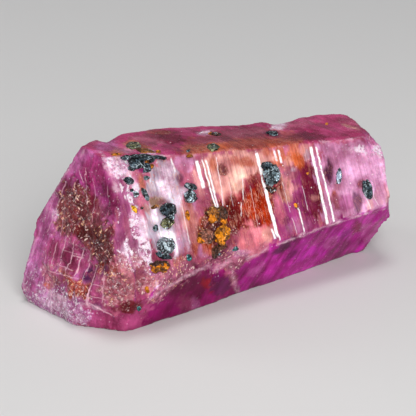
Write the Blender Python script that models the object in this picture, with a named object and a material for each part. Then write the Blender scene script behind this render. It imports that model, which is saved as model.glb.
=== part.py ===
"""Raw ruby crystal: one six-sided corundum prism lying on a side face, both ends broken.

Everything is measured in millimetres from the lower front corner: X runs along the lower
front edge, Y goes to the back, Z is up. The finished solid is moved so that the middle of
its underside is at the origin, and is in metres.
"""
import random
from math import radians

import bmesh
import bpy
from mathutils import Matrix, Vector, noise

MM = 0.001

# ---------------------------------------------------------------- driving dimensions, mm
# The prism is named by the outward direction of its six faces, in the Y-Z plane, and by how
# far each face lies from the lower front edge. A list of pairs is (place along X, distance).
SIN_30 = 0.5
COS_30 = 0.75 ** 0.5
PRISM_FACES = {
    "lower_front": ((-COS_30, -SIN_30), [(-6.0, -0.28), (9.6, -0.22), (10.6, 0.0), (32.0, 0.0)]),
    "upper_front": ((-COS_30, SIN_30), [(-6.0, 3.58), (32.0, 4.51)]),
    "top": ((0.0, 1.0), [(-6.0, 13.20), (32.0, 9.55)]),
    "upper_back": ((COS_30, SIN_30), [(-6.0, 13.9), (9.0, 13.60), (15.0, 12.40), (21.5, 11.0),
                                      (26.0, 10.90), (32.0, 9.30)]),
    "lower_back": ((COS_30, -SIN_30), [(-6.0, 7.35), (32.0, 6.15)]),
    "bottom": ((0.0, -1.0), [(-6.0, 0.15), (32.0, 0.15)]),
}
LOWER_EDGE_FLARE = [(-6.0, 1.20), (6.0, 1.40), (9.4, 1.20), (10.8, 0.70), (16.0, 0.66), (21.0, 0.35),
                    (24.0, 0.10), (32.0, 0.0)]   # how far the lower front edge stands out in front
C_AXIS_LEAN = 0.10          # growth rings lean this far towards +X for each mm of height
BODY_START, BODY_END = -5.5, 31.5
RING_SPACING = 1.9
FACE_PARTS = (0.0, 0.07, 0.36, 0.64, 0.93)   # where points lie across a face, 0 to 1
EDGE_WEAR = 0.07            # how far the prism edges are rubbed back
FACE_WAVE = 0.07            # gentle hills left by uneven growth
ROUGH_END, ROUGH_END_WAVE = 9.0, 2.2   # nearer the broken end than this, the hills are that much higher

# Growth ledges: narrow risers that run round the prism, square to its axis.
LEDGE_WIDTH = 0.26
FRONT_LEDGES = [(4.6, 0.09), (8.3, 0.10), (8.9, 0.09), (11.9, 0.06), (13.75, 0.17), (15.85, 0.08),
                (18.95, 0.12), (19.45, 0.13), (22.6, 0.07)]
OTHER_LEDGE_FACES = ("lower_front", "top", "upper_back", "lower_back")
OTHER_LEDGE_COUNT = 14
OTHER_LEDGE_RISE = 0.11

# Breaks: name, a point on the plane, the way it faces, size along and across, rows of
# parting blocks along and across, height of the steps.
BREAKS = [
    ("end_parting", (0.18, 4.5, 8.0), (-0.936, -0.082, 0.342), 13.0, 13.5, 17, 18, 0.34),
    ("end_undercut", (-2.4, 5.5, 0.8), (-0.96, -0.10, -0.20), 7.0, 1.6, 9, 2, 0.12),
    ("end_front_corner", (-0.3, -0.05, 2.6), (-0.78, -0.62, -0.10), 4.5, 6.0, 7, 8, 0.18),
    ("end_back_corner", (-0.6, 9.4, 5.0), (-0.50, 0.85, 0.15), 4.0, 9.0, 3, 6, 0.20),
    ("end_top_corner", (2.6, 7.8, 11.2), (-0.415, 0.75, 0.512), 7.0, 5.0, 5, 4, 0.24),
    ("right_end", (28.5, 2.2, 6.8), (0.885, -0.46, 0.07), 7.0, 6.0, 6, 6, 0.16),
    ("right_end_top", (27.25, 2.4, 10.1), (0.78, -0.28, 0.56), 8.0, 3.0, 7, 3, 0.16),
    ("right_end_foot", (27.25, 0.7, 2.8), (0.84, -0.35, -0.42), 8.0, 6.0, 6, 5, 0.18),
    ("right_end_back", (27.5, 6.8, 6.0), (0.80, 0.60, 0.05), 5.0, 9.0, 4, 6, 0.22),
]
PARTING_LEVELS = 4.5        # levels from the mean of a break to its highest terrace
TERRACE_GRAIN = 0.30        # how quickly the level changes from block to block
BREAK_REACH = 14.0          # every break runs on past its field of blocks, right through
# Chips: a point on an edge, the way the chip faces, its size.
CHIPS = [
    ((10.3, -2.55, 3.9), (-0.30, -0.92, -0.20), 2.6),
    ((8.0, -2.75, 4.25), (0.10, -0.98, -0.10), 2.0),
    ((13.2, -2.80, 4.60), (0.10, -0.97, -0.15), 1.5),
    ((5.6, -2.55, 4.1), (-0.10, -0.98, 0.15), 2.2),
    ((2.7, -2.2, 3.9), (-0.45, -0.88, 0.10), 2.0),
    ((1.5, 1.2, 11.3), (-0.70, -0.60, 0.35), 2.0),
    ((3.3, 1.95, 12.35), (-0.10, -0.55, 0.83), 2.4),
    ((26.1, -0.5, 9.25), (0.42, -0.62, 0.66), 2.2),
    ((25.9, -2.6, 5.0), (0.62, -0.78, -0.05), 2.4),
    ((17.5, 7.95, 10.75), (0.15, 0.50, 0.85), 3.2),
    ((22.5, 7.15, 10.30), (-0.10, 0.55, 0.83), 2.6),
    ((6.5, 9.35, 11.75), (-0.35, 0.60, 0.72), 3.0),
    ((16.0, 10.4, 4.9), (0.05, 0.99, 0.10), 2.8),
    ((24.0, 9.75, 4.6), (0.20, 0.97, 0.05), 2.4),
    ((5.0, 11.15, 5.9), (-0.20, 0.97, 0.12), 3.0),
]
CHIP_DEPTH = 0.22

# Dark mineral grains and rusty crusts grown into the faces: middle, the way the face looks,
# half-length along the face, half-width, how far it stands proud.
FRONT = (0.0, -COS_30, SIN_30)
UP = (0.10, 0.0, 1.0)
LOW = (0.0, -COS_30, -SIN_30)
BACK_UP = (0.0, COS_30, SIN_30)
BACK_LOW = (0.0, COS_30, -SIN_30)
GRAINS = [
    ("cluster_a", (4.35, 2.15, 11.85), FRONT, 0.62, 0.50, 0.26),
    ("cluster_b", (5.20, 1.75, 11.25), FRONT, 0.50, 0.62, 0.24),
    ("edge_green", (4.40, 2.75, 12.65), UP, 0.75, 0.45, 0.20),
    ("bean", (2.95, 1.74, 10.94), FRONT, 0.48, 0.33, 0.20),
    ("dot_upper", (3.25, 1.22, 10.12), FRONT, 0.30, 0.30, 0.14),
    ("sliver", (4.05, 1.05, 9.90), FRONT, 0.26, 0.52, 0.15),
    ("mid_dark", (5.60, 0.18, 8.55), FRONT, 0.58, 0.62, 0.28),
    ("mid_green", (5.38, -0.18, 7.78), FRONT, 0.46, 0.50, 0.16),
    ("mid_right", (7.90, 0.55, 9.35), FRONT, 0.56, 0.78, 0.27),
    ("silver_round", (4.36, -1.12, 6.12), FRONT, 0.74, 0.70, 0.36),
    ("dot_lower", (3.98, -0.28, 7.54), FRONT, 0.24, 0.26, 0.13),
    ("dot_foot", (6.05, -1.80, 5.12), FRONT, 0.26, 0.28, 0.14),
    ("dot_notch", (10.2, -2.10, 5.00), FRONT, 0.30, 0.26, 0.15),
    ("biggest", (15.62, -0.05, 9.08), FRONT, 0.82, 1.02, 0.34),
    ("drowned", (21.85, -1.08, 7.90), FRONT, 0.26, 0.66, 0.10),
    ("right_dark", (24.15, -1.98, 6.56), FRONT, 0.50, 0.82, 0.26),
    ("crust_left", (3.60, -1.72, 5.00), FRONT, 0.66, 0.48, 0.26),
    ("crust_mid", (9.50, -0.95, 6.95), FRONT, 0.95, 0.98, 0.24),
    ("crust_foot", (9.62, -1.52, 5.85), FRONT, 0.58, 0.60, 0.30),
    ("top_olive", (12.15, 3.20, 11.40), UP, 0.46, 0.55, 0.18),
    ("top_gold", (14.60, 6.10, 11.15), UP, 0.55, 0.60, 0.16),
    ("top_dark", (19.05, 4.00, 10.70), UP, 0.66, 0.40, 0.20),
    ("low_teal", (1.95, -0.90, 1.60), LOW, 0.30, 0.34, 0.16),
    ("back_a", (7.2, 10.8, 9.0), BACK_UP, 0.70, 0.60, 0.26),
    ("back_b", (13.6, 9.6, 8.4), BACK_UP, 0.46, 0.62, 0.22),
    ("back_c", (20.4, 8.7, 7.3), BACK_UP, 0.60, 0.48, 0.24),
    ("back_d", (10.8, 9.6, 2.6), BACK_LOW, 0.52, 0.44, 0.20),
    ("back_e", (22.6, 8.9, 2.9), BACK_LOW, 0.44, 0.52, 0.20),
]
GRAIN_ROUGHNESS = 0.20      # share of the grain's size by which its facets vary
GRAIN_ROOT = 1.3            # how far a grain reaches under the face, in its own proud heights

# Pits: middle, the way the face looks, half-size, depth.
PITS = [
    ((11.40, 0.88, 10.28), FRONT, 0.36, 0.22),
    ((20.30, -0.33, 9.05), FRONT, 0.20, 0.16),
    ((7.10, -0.25, 7.90), FRONT, 0.20, 0.14),
    ((3.30, 0.20, 8.35), FRONT, 0.26, 0.16),
    ((17.0, -1.55, 6.60), FRONT, 0.22, 0.14),
    ((9.2, 5.0, 11.65), UP, 0.34, 0.18),
    ((22.0, 3.0, 10.42), UP, 0.30, 0.16),
]

SMALLEST_EDGE = 1e-6        # metres; shorter edges left by the cuts are closed up
FLAT_ANGLE = radians(0.4)   # faces that meet flatter than this are one face

RUBY_COLOUR = (0.52, 0.10, 0.24, 1.0)
RUBY_ROUGHNESS = 0.32
RUBY_IOR = 1.77


# ---------------------------------------------------------------- small helpers
def between(pairs, x):
    """Reads a value off a list of (x, value) pairs, straight between neighbours."""
    if x <= pairs[0][0]:
        return pairs[0][1]
    for (x0, v0), (x1, v1) in zip(pairs, pairs[1:]):
        if x <= x1:
            return v0 + (v1 - v0) * (x - x0) / (x1 - x0)
    return pairs[-1][1]


def clear_scene():
    for thing in list(bpy.data.objects):
        bpy.data.objects.remove(thing)


def add_object(name, bm):
    mesh = bpy.data.meshes.new(name)
    bm.to_mesh(mesh)
    bm.free()
    thing = bpy.data.objects.new(name, mesh)
    bpy.context.scene.collection.objects.link(thing)
    return thing


def combine(body, tool, operation):
    """Joins the tool to the body, or takes it away, and removes the tool."""
    step = body.modifiers.new(tool.name, "BOOLEAN")
    step.operation = operation
    step.solver = "EXACT"
    step.object = tool
    bpy.context.view_layer.objects.active = body
    bpy.ops.object.modifier_apply(modifier=step.name)
    bpy.data.objects.remove(tool)


def standing_on(point, outward, upright=Vector((0.0, 0.0, 1.0))):
    """A matrix whose Z is the outward direction, whose X lies level, and whose origin is the point."""
    z_axis = Vector(outward).normalized()
    x_axis = upright.cross(z_axis)
    if x_axis.length < 0.3:
        x_axis = Vector((0.0, 1.0, 0.0)).cross(z_axis)
    x_axis.normalize()
    y_axis = z_axis.cross(x_axis)
    turn = Matrix((x_axis, y_axis, z_axis)).transposed().to_4x4()
    return Matrix.Translation(Vector(point)) @ turn


def on_surface(body, point):
    """The spot of the body's surface that lies nearest to a point, in millimetres."""
    found, spot, _, _ = body.closest_point_on_mesh(Vector(point) * MM)
    return spot / MM if found else Vector(point)


# ---------------------------------------------------------------- the six-sided body
def growth_ledges():
    """Every ledge as (face name, place along the axis, rise)."""
    draw = random.Random(11)
    ledges = [("upper_front", x, rise) for x, rise in FRONT_LEDGES]
    for count in range(OTHER_LEDGE_COUNT):
        face = OTHER_LEDGE_FACES[count % len(OTHER_LEDGE_FACES)]
        ledges.append((face, draw.uniform(1.0, 25.0), draw.uniform(-1.0, 1.0) * OTHER_LEDGE_RISE))
    return ledges


def ring_places(ledges):
    """Where the body is ringed: at an even spacing, and at both sides of each ledge."""
    places = [BODY_START]
    while places[-1] < BODY_END:
        places.append(places[-1] + RING_SPACING)
    near = LEDGE_WIDTH
    even = [x for x in places if all(abs(x - at) > near and abs(x - at - LEDGE_WIDTH) > near
                                     for _, at, _ in ledges)]
    edges = []
    for _, at, _ in sorted(ledges, key=lambda ledge: ledge[1]):
        for x in (at, at + LEDGE_WIDTH):
            if all(abs(x - other) > 0.05 for other in edges):
                edges.append(x)
    return sorted(even + edges)


def face_distance(name, x, ledges):
    rise = sum(height * min(1.0, max(0.0, (x - at) / LEDGE_WIDTH))
               for face, at, height in ledges if face == name)
    return between(PRISM_FACES[name][1], x) + rise


def corner(face_a, face_b, distance_a, distance_b):
    """Where two face lines cross in the Y-Z plane."""
    (ay, az), (by, bz) = face_a, face_b
    size = ay * bz - az * by
    return Vector(((distance_a * bz - distance_b * az) / size,
                   (ay * distance_b - by * distance_a) / size))


def hills_at(x):
    return FACE_WAVE * between([(0.0, 1.0 + ROUGH_END_WAVE), (ROUGH_END, 1.0)], x)


def ring(x, ledges):
    """One closed ring of points round the prism."""
    names = list(PRISM_FACES)
    directions = [PRISM_FACES[name][0] for name in names]
    distances = [face_distance(name, x, ledges) for name in names]
    corners = [corner(directions[i - 1], directions[i], distances[i - 1], distances[i])
               for i in range(len(names))]
    corners[0].x -= between(LOWER_EDGE_FLARE, x)      # between the bottom and the lower front face
    middle = sum(corners, Vector((0.0, 0.0))) / len(corners)
    points = []
    for i, direction in enumerate(directions):
        start, end = corners[i], corners[(i + 1) % len(corners)]
        for part in FACE_PARTS:
            flat = start.lerp(end, part)
            if part == 0.0:
                flat = flat + (middle - flat).normalized() * EDGE_WEAR
            wave = hills_at(x) * noise.noise(Vector((x * 0.35, flat.x * 0.5 + 7.0 * i, flat.y * 0.5)))
            spot = flat + Vector(direction) * wave
            points.append(Vector((x + C_AXIS_LEAN * spot.y, spot.x, spot.y)))
    return points


def prism_body():
    ledges = growth_ledges()
    bm = bmesh.new()
    rings = [[bm.verts.new(point * MM) for point in ring(x, ledges)] for x in ring_places(ledges)]
    for left, right in zip(rings, rings[1:]):
        for i in range(len(left)):
            j = (i + 1) % len(left)
            bm.faces.new((left[i], right[i], right[j], left[j]))
    bm.faces.new(rings[0])
    bm.faces.new(list(reversed(rings[-1])))
    bmesh.ops.recalc_face_normals(bm, faces=bm.faces)
    bmesh.ops.triangulate(bm, faces=bm.faces)
    return add_object("ruby_crystal", bm)


# ---------------------------------------------------------------- breaks, chips and pits
def block_edges(length, count, draw):
    """Cuts a length into uneven blocks, each with a narrow riser at its ends."""
    sizes = [draw.uniform(0.6, 1.4) for _ in range(count)]
    scale = length / sum(sizes)
    edges, at = [], -length / 2
    for size in sizes:
        block = size * scale
        edges += [at + 0.06 * block, at + 0.94 * block]
        at += block
    edges[0] -= BREAK_REACH
    edges[-1] += BREAK_REACH
    return edges


def step_height(column, row, seed, height):
    """Neighbouring blocks share a parting level, so the break runs in terraces."""
    hills = noise.noise(Vector((column * TERRACE_GRAIN, row * TERRACE_GRAIN, seed)))
    hills += 0.5 * noise.noise(Vector((column * 0.9, row * 0.9, seed + 5.0)))
    return height * round(hills * PARTING_LEVELS) / PARTING_LEVELS


def slab(name, frame, columns, rows, height_at, thickness):
    """A closed slab whose underside is the broken surface that it leaves behind."""
    bm = bmesh.new()
    under = [[bm.verts.new(frame @ Vector((x, y, height_at(i, j))) * MM)
              for j, y in enumerate(rows)] for i, x in enumerate(columns)]
    ends_x, ends_y = (columns[0], columns[-1]), (rows[0], rows[-1])
    cover = [[bm.verts.new(frame @ Vector((x, y, thickness)) * MM) for y in ends_y] for x in ends_x]
    for i in range(len(columns) - 1):
        for j in range(len(rows) - 1):
            bm.faces.new((under[i][j], under[i][j + 1], under[i + 1][j + 1], under[i + 1][j]))
    last_i, last_j = len(columns) - 1, len(rows) - 1
    bm.faces.new((cover[0][0], cover[1][0], cover[1][1], cover[0][1]))
    bm.faces.new([under[i][0] for i in range(last_i + 1)] + [cover[1][0], cover[0][0]])
    bm.faces.new([under[i][last_j] for i in range(last_i, -1, -1)] + [cover[0][1], cover[1][1]])
    bm.faces.new([under[0][j] for j in range(last_j, -1, -1)] + [cover[0][0], cover[0][1]])
    bm.faces.new([under[last_i][j] for j in range(last_j + 1)] + [cover[1][1], cover[1][0]])
    bmesh.ops.recalc_face_normals(bm, faces=bm.faces)
    bmesh.ops.triangulate(bm, faces=bm.faces)
    return add_object(name, bm)


def parting_break(name, point, outward, length, width, columns, rows, height):
    """Corundum parts in little blocks, so a broken end is a field of flat steps."""
    draw = random.Random(name)
    seed = draw.uniform(0.0, 50.0)
    levels = [[step_height(column, row, seed, height) for row in range(rows)] for column in range(columns)]
    return slab(name, standing_on(point, outward),
                block_edges(length, columns, draw), block_edges(width, rows, draw),
                lambda i, j: levels[i // 2][j // 2], 12.0)


def chip(body, index, point, outward, size):
    """A shallow shell-shaped flake knocked off an edge."""
    parts = [size * (step / 4 - 0.5) * 1.6 for step in range(5)]
    frame = standing_on(on_surface(body, point) - Vector(outward).normalized() * CHIP_DEPTH, outward)

    def bowl(i, j):
        away = (parts[i] ** 2 + parts[j] ** 2) / size ** 2
        ripple = noise.noise(Vector((i * 0.9, j * 0.9, index * 3.1)))
        return CHIP_DEPTH * (1.6 * away + 0.35 * ripple)

    return slab(f"chip_{index}", frame, parts, parts, bowl, 3.0)


def lump(name, point, outward, half_length, half_width, proud, root, detail):
    """A many-faced lump, used whole for a grain and upside down for a pit."""
    frame = standing_on(point, outward)
    bm = bmesh.new()
    bmesh.ops.create_icosphere(bm, subdivisions=detail, radius=1.0)
    seed = Vector(point) * 3.7
    for vert in bm.verts:
        swell = 1.0 + GRAIN_ROUGHNESS * 2.0 * noise.noise(vert.co * 1.9 + seed)
        depth = proud if vert.co.z > 0 else root
        shaped = Vector((vert.co.x * half_length, vert.co.y * half_width, vert.co.z * depth)) * swell
        vert.co = frame @ shaped * MM
    bmesh.ops.recalc_face_normals(bm, faces=bm.faces)
    return add_object(name, bm)


def grow_grains(body):
    for name, point, outward, half_length, half_width, proud in GRAINS:
        spot = on_surface(body, point)
        grain = lump(name, spot, outward, half_length, half_width, proud, proud * GRAIN_ROOT, 2)
        combine(body, grain, "UNION")


def sink_pits(body):
    for index, (point, outward, half, depth) in enumerate(PITS):
        spot = on_surface(body, point)
        hollow = lump(f"pit_{index}", spot, outward, half, half * 1.3, depth, depth, 2)
        combine(body, hollow, "DIFFERENCE")


# ---------------------------------------------------------------- finishing
def flatten_underside(body):
    """The crystal rests on one flat face: all that hangs below height zero is cut away."""
    bm = bmesh.new()
    bmesh.ops.create_cube(bm, size=1.0)
    low = Matrix.Translation(Vector((13.0, 4.5, -2.0)) * MM)
    bmesh.ops.transform(bm, matrix=low @ Matrix.Diagonal((60 * MM, 40 * MM, 4 * MM, 1.0)), verts=bm.verts)
    combine(body, add_object("ground_cut", bm), "DIFFERENCE")


def merge_slivers(body):
    """Flat stretches become one face again, then everything is cut into clean triangles."""
    bm = bmesh.new()
    bm.from_mesh(body.data)
    bmesh.ops.dissolve_limit(bm, angle_limit=FLAT_ANGLE, verts=bm.verts, edges=bm.edges)
    bmesh.ops.remove_doubles(bm, verts=bm.verts, dist=SMALLEST_EDGE)
    bmesh.ops.triangulate(bm, faces=bm.faces)
    bm.to_mesh(body.data)
    bm.free()


def centre_on_underside(body):
    spots = [vert.co for vert in body.data.vertices]
    for axis in (0, 1):
        middle = (min(spot[axis] for spot in spots) + max(spot[axis] for spot in spots)) / 2
        for vert in body.data.vertices:
            vert.co[axis] -= middle


def ruby_material():
    material = bpy.data.materials.new("ruby")
    material.use_nodes = True
    shader = material.node_tree.nodes["Principled BSDF"]
    shader.inputs["Base Color"].default_value = RUBY_COLOUR
    shader.inputs["Roughness"].default_value = RUBY_ROUGHNESS
    shader.inputs["IOR"].default_value = RUBY_IOR
    shader.inputs["Metallic"].default_value = 0.0
    material.diffuse_color = RUBY_COLOUR
    return material


def main():
    clear_scene()
    body = prism_body()
    for settings in BREAKS:
        combine(body, parting_break(*settings), "DIFFERENCE")
    for index, settings in enumerate(CHIPS):
        combine(body, chip(body, index, *settings), "DIFFERENCE")
    sink_pits(body)
    grow_grains(body)
    flatten_underside(body)
    merge_slivers(body)
    centre_on_underside(body)
    body.data.materials.append(ruby_material())
    corners = [min(vert.co[axis] for vert in body.data.vertices) for axis in range(3)]
    far = [max(vert.co[axis] for vert in body.data.vertices) for axis in range(3)]
    print("ruby crystal:", len(body.data.polygons), "faces, from", corners, "to", far)


main()
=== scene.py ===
# %% [markdown]
# # A raw ruby crystal
# Ruby is corundum, and corundum grows as six-sided prisms. This one lies on a side face. Its left
# end has parted in small blocks, its front is pitted and scattered with dark mineral grains, and
# iron has stained the middle orange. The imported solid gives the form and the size. This script
# keeps both, and makes the surfaces: first the lie of every face, then its colour, then its gloss.

# %% Load the fixed frame
from math import atan2, cos, degrees, radians, sin

import bpy
import numpy as np
from mathutils import Matrix, Vector
from mathutils.bvhtree import BVHTree
from mathutils.kdtree import KDTree


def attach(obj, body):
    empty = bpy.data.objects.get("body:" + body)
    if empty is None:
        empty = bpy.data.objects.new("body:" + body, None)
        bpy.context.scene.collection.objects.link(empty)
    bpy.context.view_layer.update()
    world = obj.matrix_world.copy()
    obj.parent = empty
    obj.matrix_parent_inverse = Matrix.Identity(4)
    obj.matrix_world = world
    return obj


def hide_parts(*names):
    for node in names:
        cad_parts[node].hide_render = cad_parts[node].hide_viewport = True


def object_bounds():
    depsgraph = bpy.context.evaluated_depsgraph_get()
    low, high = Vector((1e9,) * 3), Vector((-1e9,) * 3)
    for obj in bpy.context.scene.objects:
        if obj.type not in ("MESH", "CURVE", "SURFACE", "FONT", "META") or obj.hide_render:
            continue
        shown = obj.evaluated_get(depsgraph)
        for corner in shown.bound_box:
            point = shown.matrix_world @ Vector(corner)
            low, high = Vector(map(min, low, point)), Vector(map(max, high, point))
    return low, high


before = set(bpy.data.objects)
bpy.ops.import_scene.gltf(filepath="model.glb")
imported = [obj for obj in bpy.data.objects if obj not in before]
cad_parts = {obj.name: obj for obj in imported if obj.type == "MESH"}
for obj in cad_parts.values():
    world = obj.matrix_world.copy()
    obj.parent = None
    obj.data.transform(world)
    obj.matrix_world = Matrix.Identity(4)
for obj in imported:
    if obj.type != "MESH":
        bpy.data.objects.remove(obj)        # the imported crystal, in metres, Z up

MM = 0.001
cad_low, cad_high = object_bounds()
print("the packed crystal measures", [round(side / MM, 1) for side in cad_high - cad_low], "mm")

# %% [markdown]
# ## One measure for everything on the crystal
# A mineral collector would note a grain as "15 mm along, 9 mm up". The same is done here: places
# are millimetres from the lower front corner of the prism, X along it, Y to the back, Z up. The
# pieces are made in that measure, and go to metres in the last step of each.

# %% Between the collector's millimetres and the frame's metres
CORNER_FROM_BOX = Vector((2.704, 3.043, 0.0))   # the prism's corner, from the box's lowest corner
corner = Vector((cad_low.x, cad_low.y, 0.0)) + CORNER_FROM_BOX * MM
TO_METRES = Matrix.Translation(corner) @ Matrix.Diagonal((MM, MM, MM, 1.0))
TO_MM = TO_METRES.inverted()
print("the prism's lower front corner is at", [round(c / MM, 2) for c in corner], "mm in the frame")

# %% [markdown]
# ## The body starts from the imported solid
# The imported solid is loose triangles, right in form but coarse. Its copy is merged into one skin,
# and a voxel remesh lays an even net of small quads over it, about an eighth of a millimetre wide.
# Only an even net can carry fine relief on every face alike.

# %% Copy, merge, and lay an even net
NET_WIDTH = 0.135        # mm, one quad of the net


def only(piece):
    """Selects one piece and nothing else, because operators act on all that is selected."""
    if bpy.context.object and bpy.context.object.mode != "OBJECT":
        bpy.ops.object.mode_set(mode="OBJECT")
    bpy.ops.object.select_all(action="DESELECT")
    piece.select_set(True)
    bpy.context.view_layer.objects.active = piece


def lay_net(piece, width):
    """A voxel remesh: one closed skin of even quads, and nothing left inside it."""
    only(piece)
    net = piece.modifiers.new("net", "REMESH")
    net.mode, net.voxel_size, net.use_smooth_shade = "VOXEL", width, True
    bpy.ops.object.modifier_apply(modifier=net.name)


body = bpy.data.objects.new("ruby_body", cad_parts["ruby_crystal"].data.copy())
bpy.context.scene.collection.objects.link(body)
body.data.transform(TO_MM)
body.data.materials.clear()
only(body)
bpy.ops.object.mode_set(mode="EDIT")
bpy.ops.mesh.select_all(action="SELECT")
bpy.ops.mesh.remove_doubles(threshold=0.001)
bpy.ops.object.mode_set(mode="OBJECT")
lay_net(body, NET_WIDTH)
print("the body's net has", len(body.data.polygons), "quads")

# %% [markdown]
# ## Noise that can be steered
# Real faces are uneven in several ways at once, and each way keeps to its own part of the crystal.
# Three small functions give the unevenness: soft hills, a patchwork of cells, and flat facets that
# tilt each to its own side, as broken crystal does. They read only the place, so every run agrees.

# %% Hills
TURN = np.array(Matrix.Rotation(0.7, 3, Vector((1.0, 2.0, 3.0)).normalized()))


def scramble(cells, seed):
    """A number from 0 to 1 for each whole-number cell."""
    key = cells.astype(np.int64) @ np.array([73856093, 19349663, 83492791]) + seed * 97531
    key = ((key ^ (key >> 13)) * 1274126177) & 0xFFFFFFFF
    key = ((key ^ (key >> 15)) * 2246822519) & 0xFFFFFFFF
    return ((key ^ (key >> 16)) & 0xFFFFFF) / 0xFFFFFF


def hills(places, width, seed):
    """Soft noise from -1 to 1."""
    spot = places @ TURN.T / width
    low = np.floor(spot)
    part = spot - low
    part = part * part * (3 - 2 * part)
    total = np.zeros(len(places))
    for step in np.ndindex(2, 2, 2):
        share = np.prod(np.where(step, part, 1 - part), axis=1)
        total += share * scramble(low + np.array(step), seed)
    return 2 * total - 1


print("hills at one place:", hills(np.array([[1.0, 2.0, 3.0]]), 1.0, 1).round(3))

# %% Cells, facets and ramps
def cells(places, width, seed):
    """For each place: its cell's number, the way from the cell's middle, how near the next cell is."""
    spot = places / width
    low = np.floor(spot)
    best, second = np.full(len(places), 9.0), np.full(len(places), 9.0)
    number, away = np.zeros(len(places)), np.zeros_like(spot)
    for step in np.ndindex(3, 3, 3):
        cell = low + np.array(step) - 1
        middle = cell + 0.5 + 0.8 * np.stack([scramble(cell, seed + k) - 0.5 for k in (1, 2, 3)], 1)
        reach = spot - middle
        far = np.sqrt((reach ** 2).sum(1))
        second = np.minimum(second, np.maximum(far, best))
        nearer = far < best
        best = np.where(nearer, far, best)
        number = np.where(nearer, scramble(cell, seed + 4), number)
        away[nearer] = reach[nearer]
    return number, away, second - best


def facets(places, width, seed):
    """Flat tilted facets, each about one width across, from about -1 to 1."""
    number, away, _ = cells(places, width, seed)
    tilt = np.stack([np.sin(number * 61.0 + k * 2.1) for k in range(3)], 1)
    return (away * tilt).sum(1) + 0.6 * (number - 0.5)


def ramp(values, low, high):
    """0 up to low, 1 from high on, smooth between; low may be the larger."""
    part = np.clip((values - low) / (high - low), 0, 1)
    return part * part * (3 - 2 * part)


print("a ramp from 0 to 1, at a quarter of its way:", ramp(0.25, 0, 1))

# %% [markdown]
# ## The faces, and which of them a point belongs to
# The six grown faces look out at about 30 and 90 degrees round the long axis. Each break looks the
# way it was struck. A point's normal tells which face it is on. Each face also has a way along it
# and a way up it, so that a stain can be laid on it as on a sheet of paper.

# %% The ways of the faces
FACES = {     # the way each looks, and the way up it
    "front": ((-0.05, -0.87, 0.50), (0.0, 0.50, 0.87)),
    "top": ((0.10, 0.0, 1.0), (0.0, 1.0, 0.0)),
    "low": ((0.0, -0.90, -0.43), (0.0, -0.43, 0.90)),
    "high_back": ((0.10, 0.87, 0.50), (0.0, -0.50, 0.87)),
    "low_back": ((0.03, 0.87, -0.50), (0.0, 0.50, 0.87)),
    "bottom": ((0.0, 0.0, -1.0), (0.0, 1.0, 0.0)),
    "end": ((-0.936, -0.082, 0.342), (0.34, 0.0, 0.94)),
    "foot": ((-0.97, -0.10, -0.20), (0.0, 0.0, 1.0)),
    "nose": ((-0.78, -0.62, -0.10), (0.0, 0.0, 1.0)),
    "back_corner": ((-0.50, 0.85, 0.15), (0.0, 0.0, 1.0)),
    "top_corner": ((-0.415, 0.75, 0.51), (0.0, 0.0, 1.0)),
    "tail": ((0.885, -0.46, 0.07), (0.0, 0.0, 1.0)),
    "tail_top": ((0.78, -0.28, 0.56), (0.0, 0.0, 1.0)),
    "tail_foot": ((0.84, -0.35, -0.42), (0.0, 0.0, 1.0)),
    "tail_back": ((0.80, 0.60, 0.05), (0.0, 0.0, 1.0)),
}
GROWN_FACES = 6          # the first six are grown, the rest are broken


def ways_of(face):
    """The ways along, up and out of a face, as unit vectors."""
    out = Vector(FACES[face][0]).normalized()
    up = Vector(FACES[face][1])
    up = (up - out * up.dot(out)).normalized()
    return np.array(up.cross(out)), np.array(up), np.array(out)


print(len(FACES), "faces,", GROWN_FACES, "of them grown")

# %% Sort the skin into faces
def read_skin(piece):
    """The places and the normals of a piece's points, as two arrays."""
    count = len(piece.data.vertices)
    places, normals = np.zeros(count * 3), np.zeros(count * 3)
    piece.data.vertices.foreach_get("co", places)
    piece.data.vertices.foreach_get("normal", normals)
    return places.reshape(-1, 3), normals.reshape(-1, 3)


def write_skin(piece, places):
    """Moves a piece's points to the places given."""
    piece.data.vertices.foreach_set("co", places.astype(np.float32).ravel())
    piece.data.update()


places, normals = read_skin(body)
facing = normals @ np.array([ways_of(face)[2] for face in FACES]).T
nearest = facing.argmax(1)
on_face = {face: (nearest == k).astype(float) for k, face in enumerate(FACES)}
grown = ramp(facing[:, :GROWN_FACES].max(1), 0.92, 0.98)
broken = 1 - grown
print("share of the skin on grown faces:", round(float(grown.mean()), 2))

# %% [markdown]
# ## Places, given in the view
# The quickest way to place a stain is to give its spot in the view. So the camera is set up first,
# and its view is counted as 416 columns by 416 rows. A line of sight through one spot of the view
# meets the packed skin, and that point in millimetres is where the stain is laid. From then on it
# belongs to the crystal, and stays there from whichever side it is seen.

# %% The camera
VIEW = 416               # columns, and rows
ELEVATION, AZIMUTH = radians(22.0), radians(-37.2)
LENS, SENSOR = 150.0, 36.0
DISTANCE = 156.0         # mm
LOOK_AT = Vector((20.95, 15.43, 0.0))     # mm from the prism's corner, on the floor
back = Vector((sin(AZIMUTH) * cos(ELEVATION), -cos(AZIMUTH) * cos(ELEVATION), sin(ELEVATION)))
rightwards = Vector((cos(AZIMUTH), sin(AZIMUTH), 0.0))
upwards = back.cross(rightwards)
eye = LOOK_AT + back * DISTANCE

camera = bpy.data.objects.new("camera", bpy.data.cameras.new("camera"))
bpy.context.scene.collection.objects.link(camera)
camera.data.lens, camera.data.sensor_width = LENS, SENSOR
camera.data.clip_start = 0.01
camera.location = TO_METRES @ eye
camera.rotation_euler = back.to_track_quat("Z", "Y").to_euler()
bpy.context.scene.camera = camera
print("the camera stands", DISTANCE, "mm away,", round(degrees(ELEVATION)), "degrees up")

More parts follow.
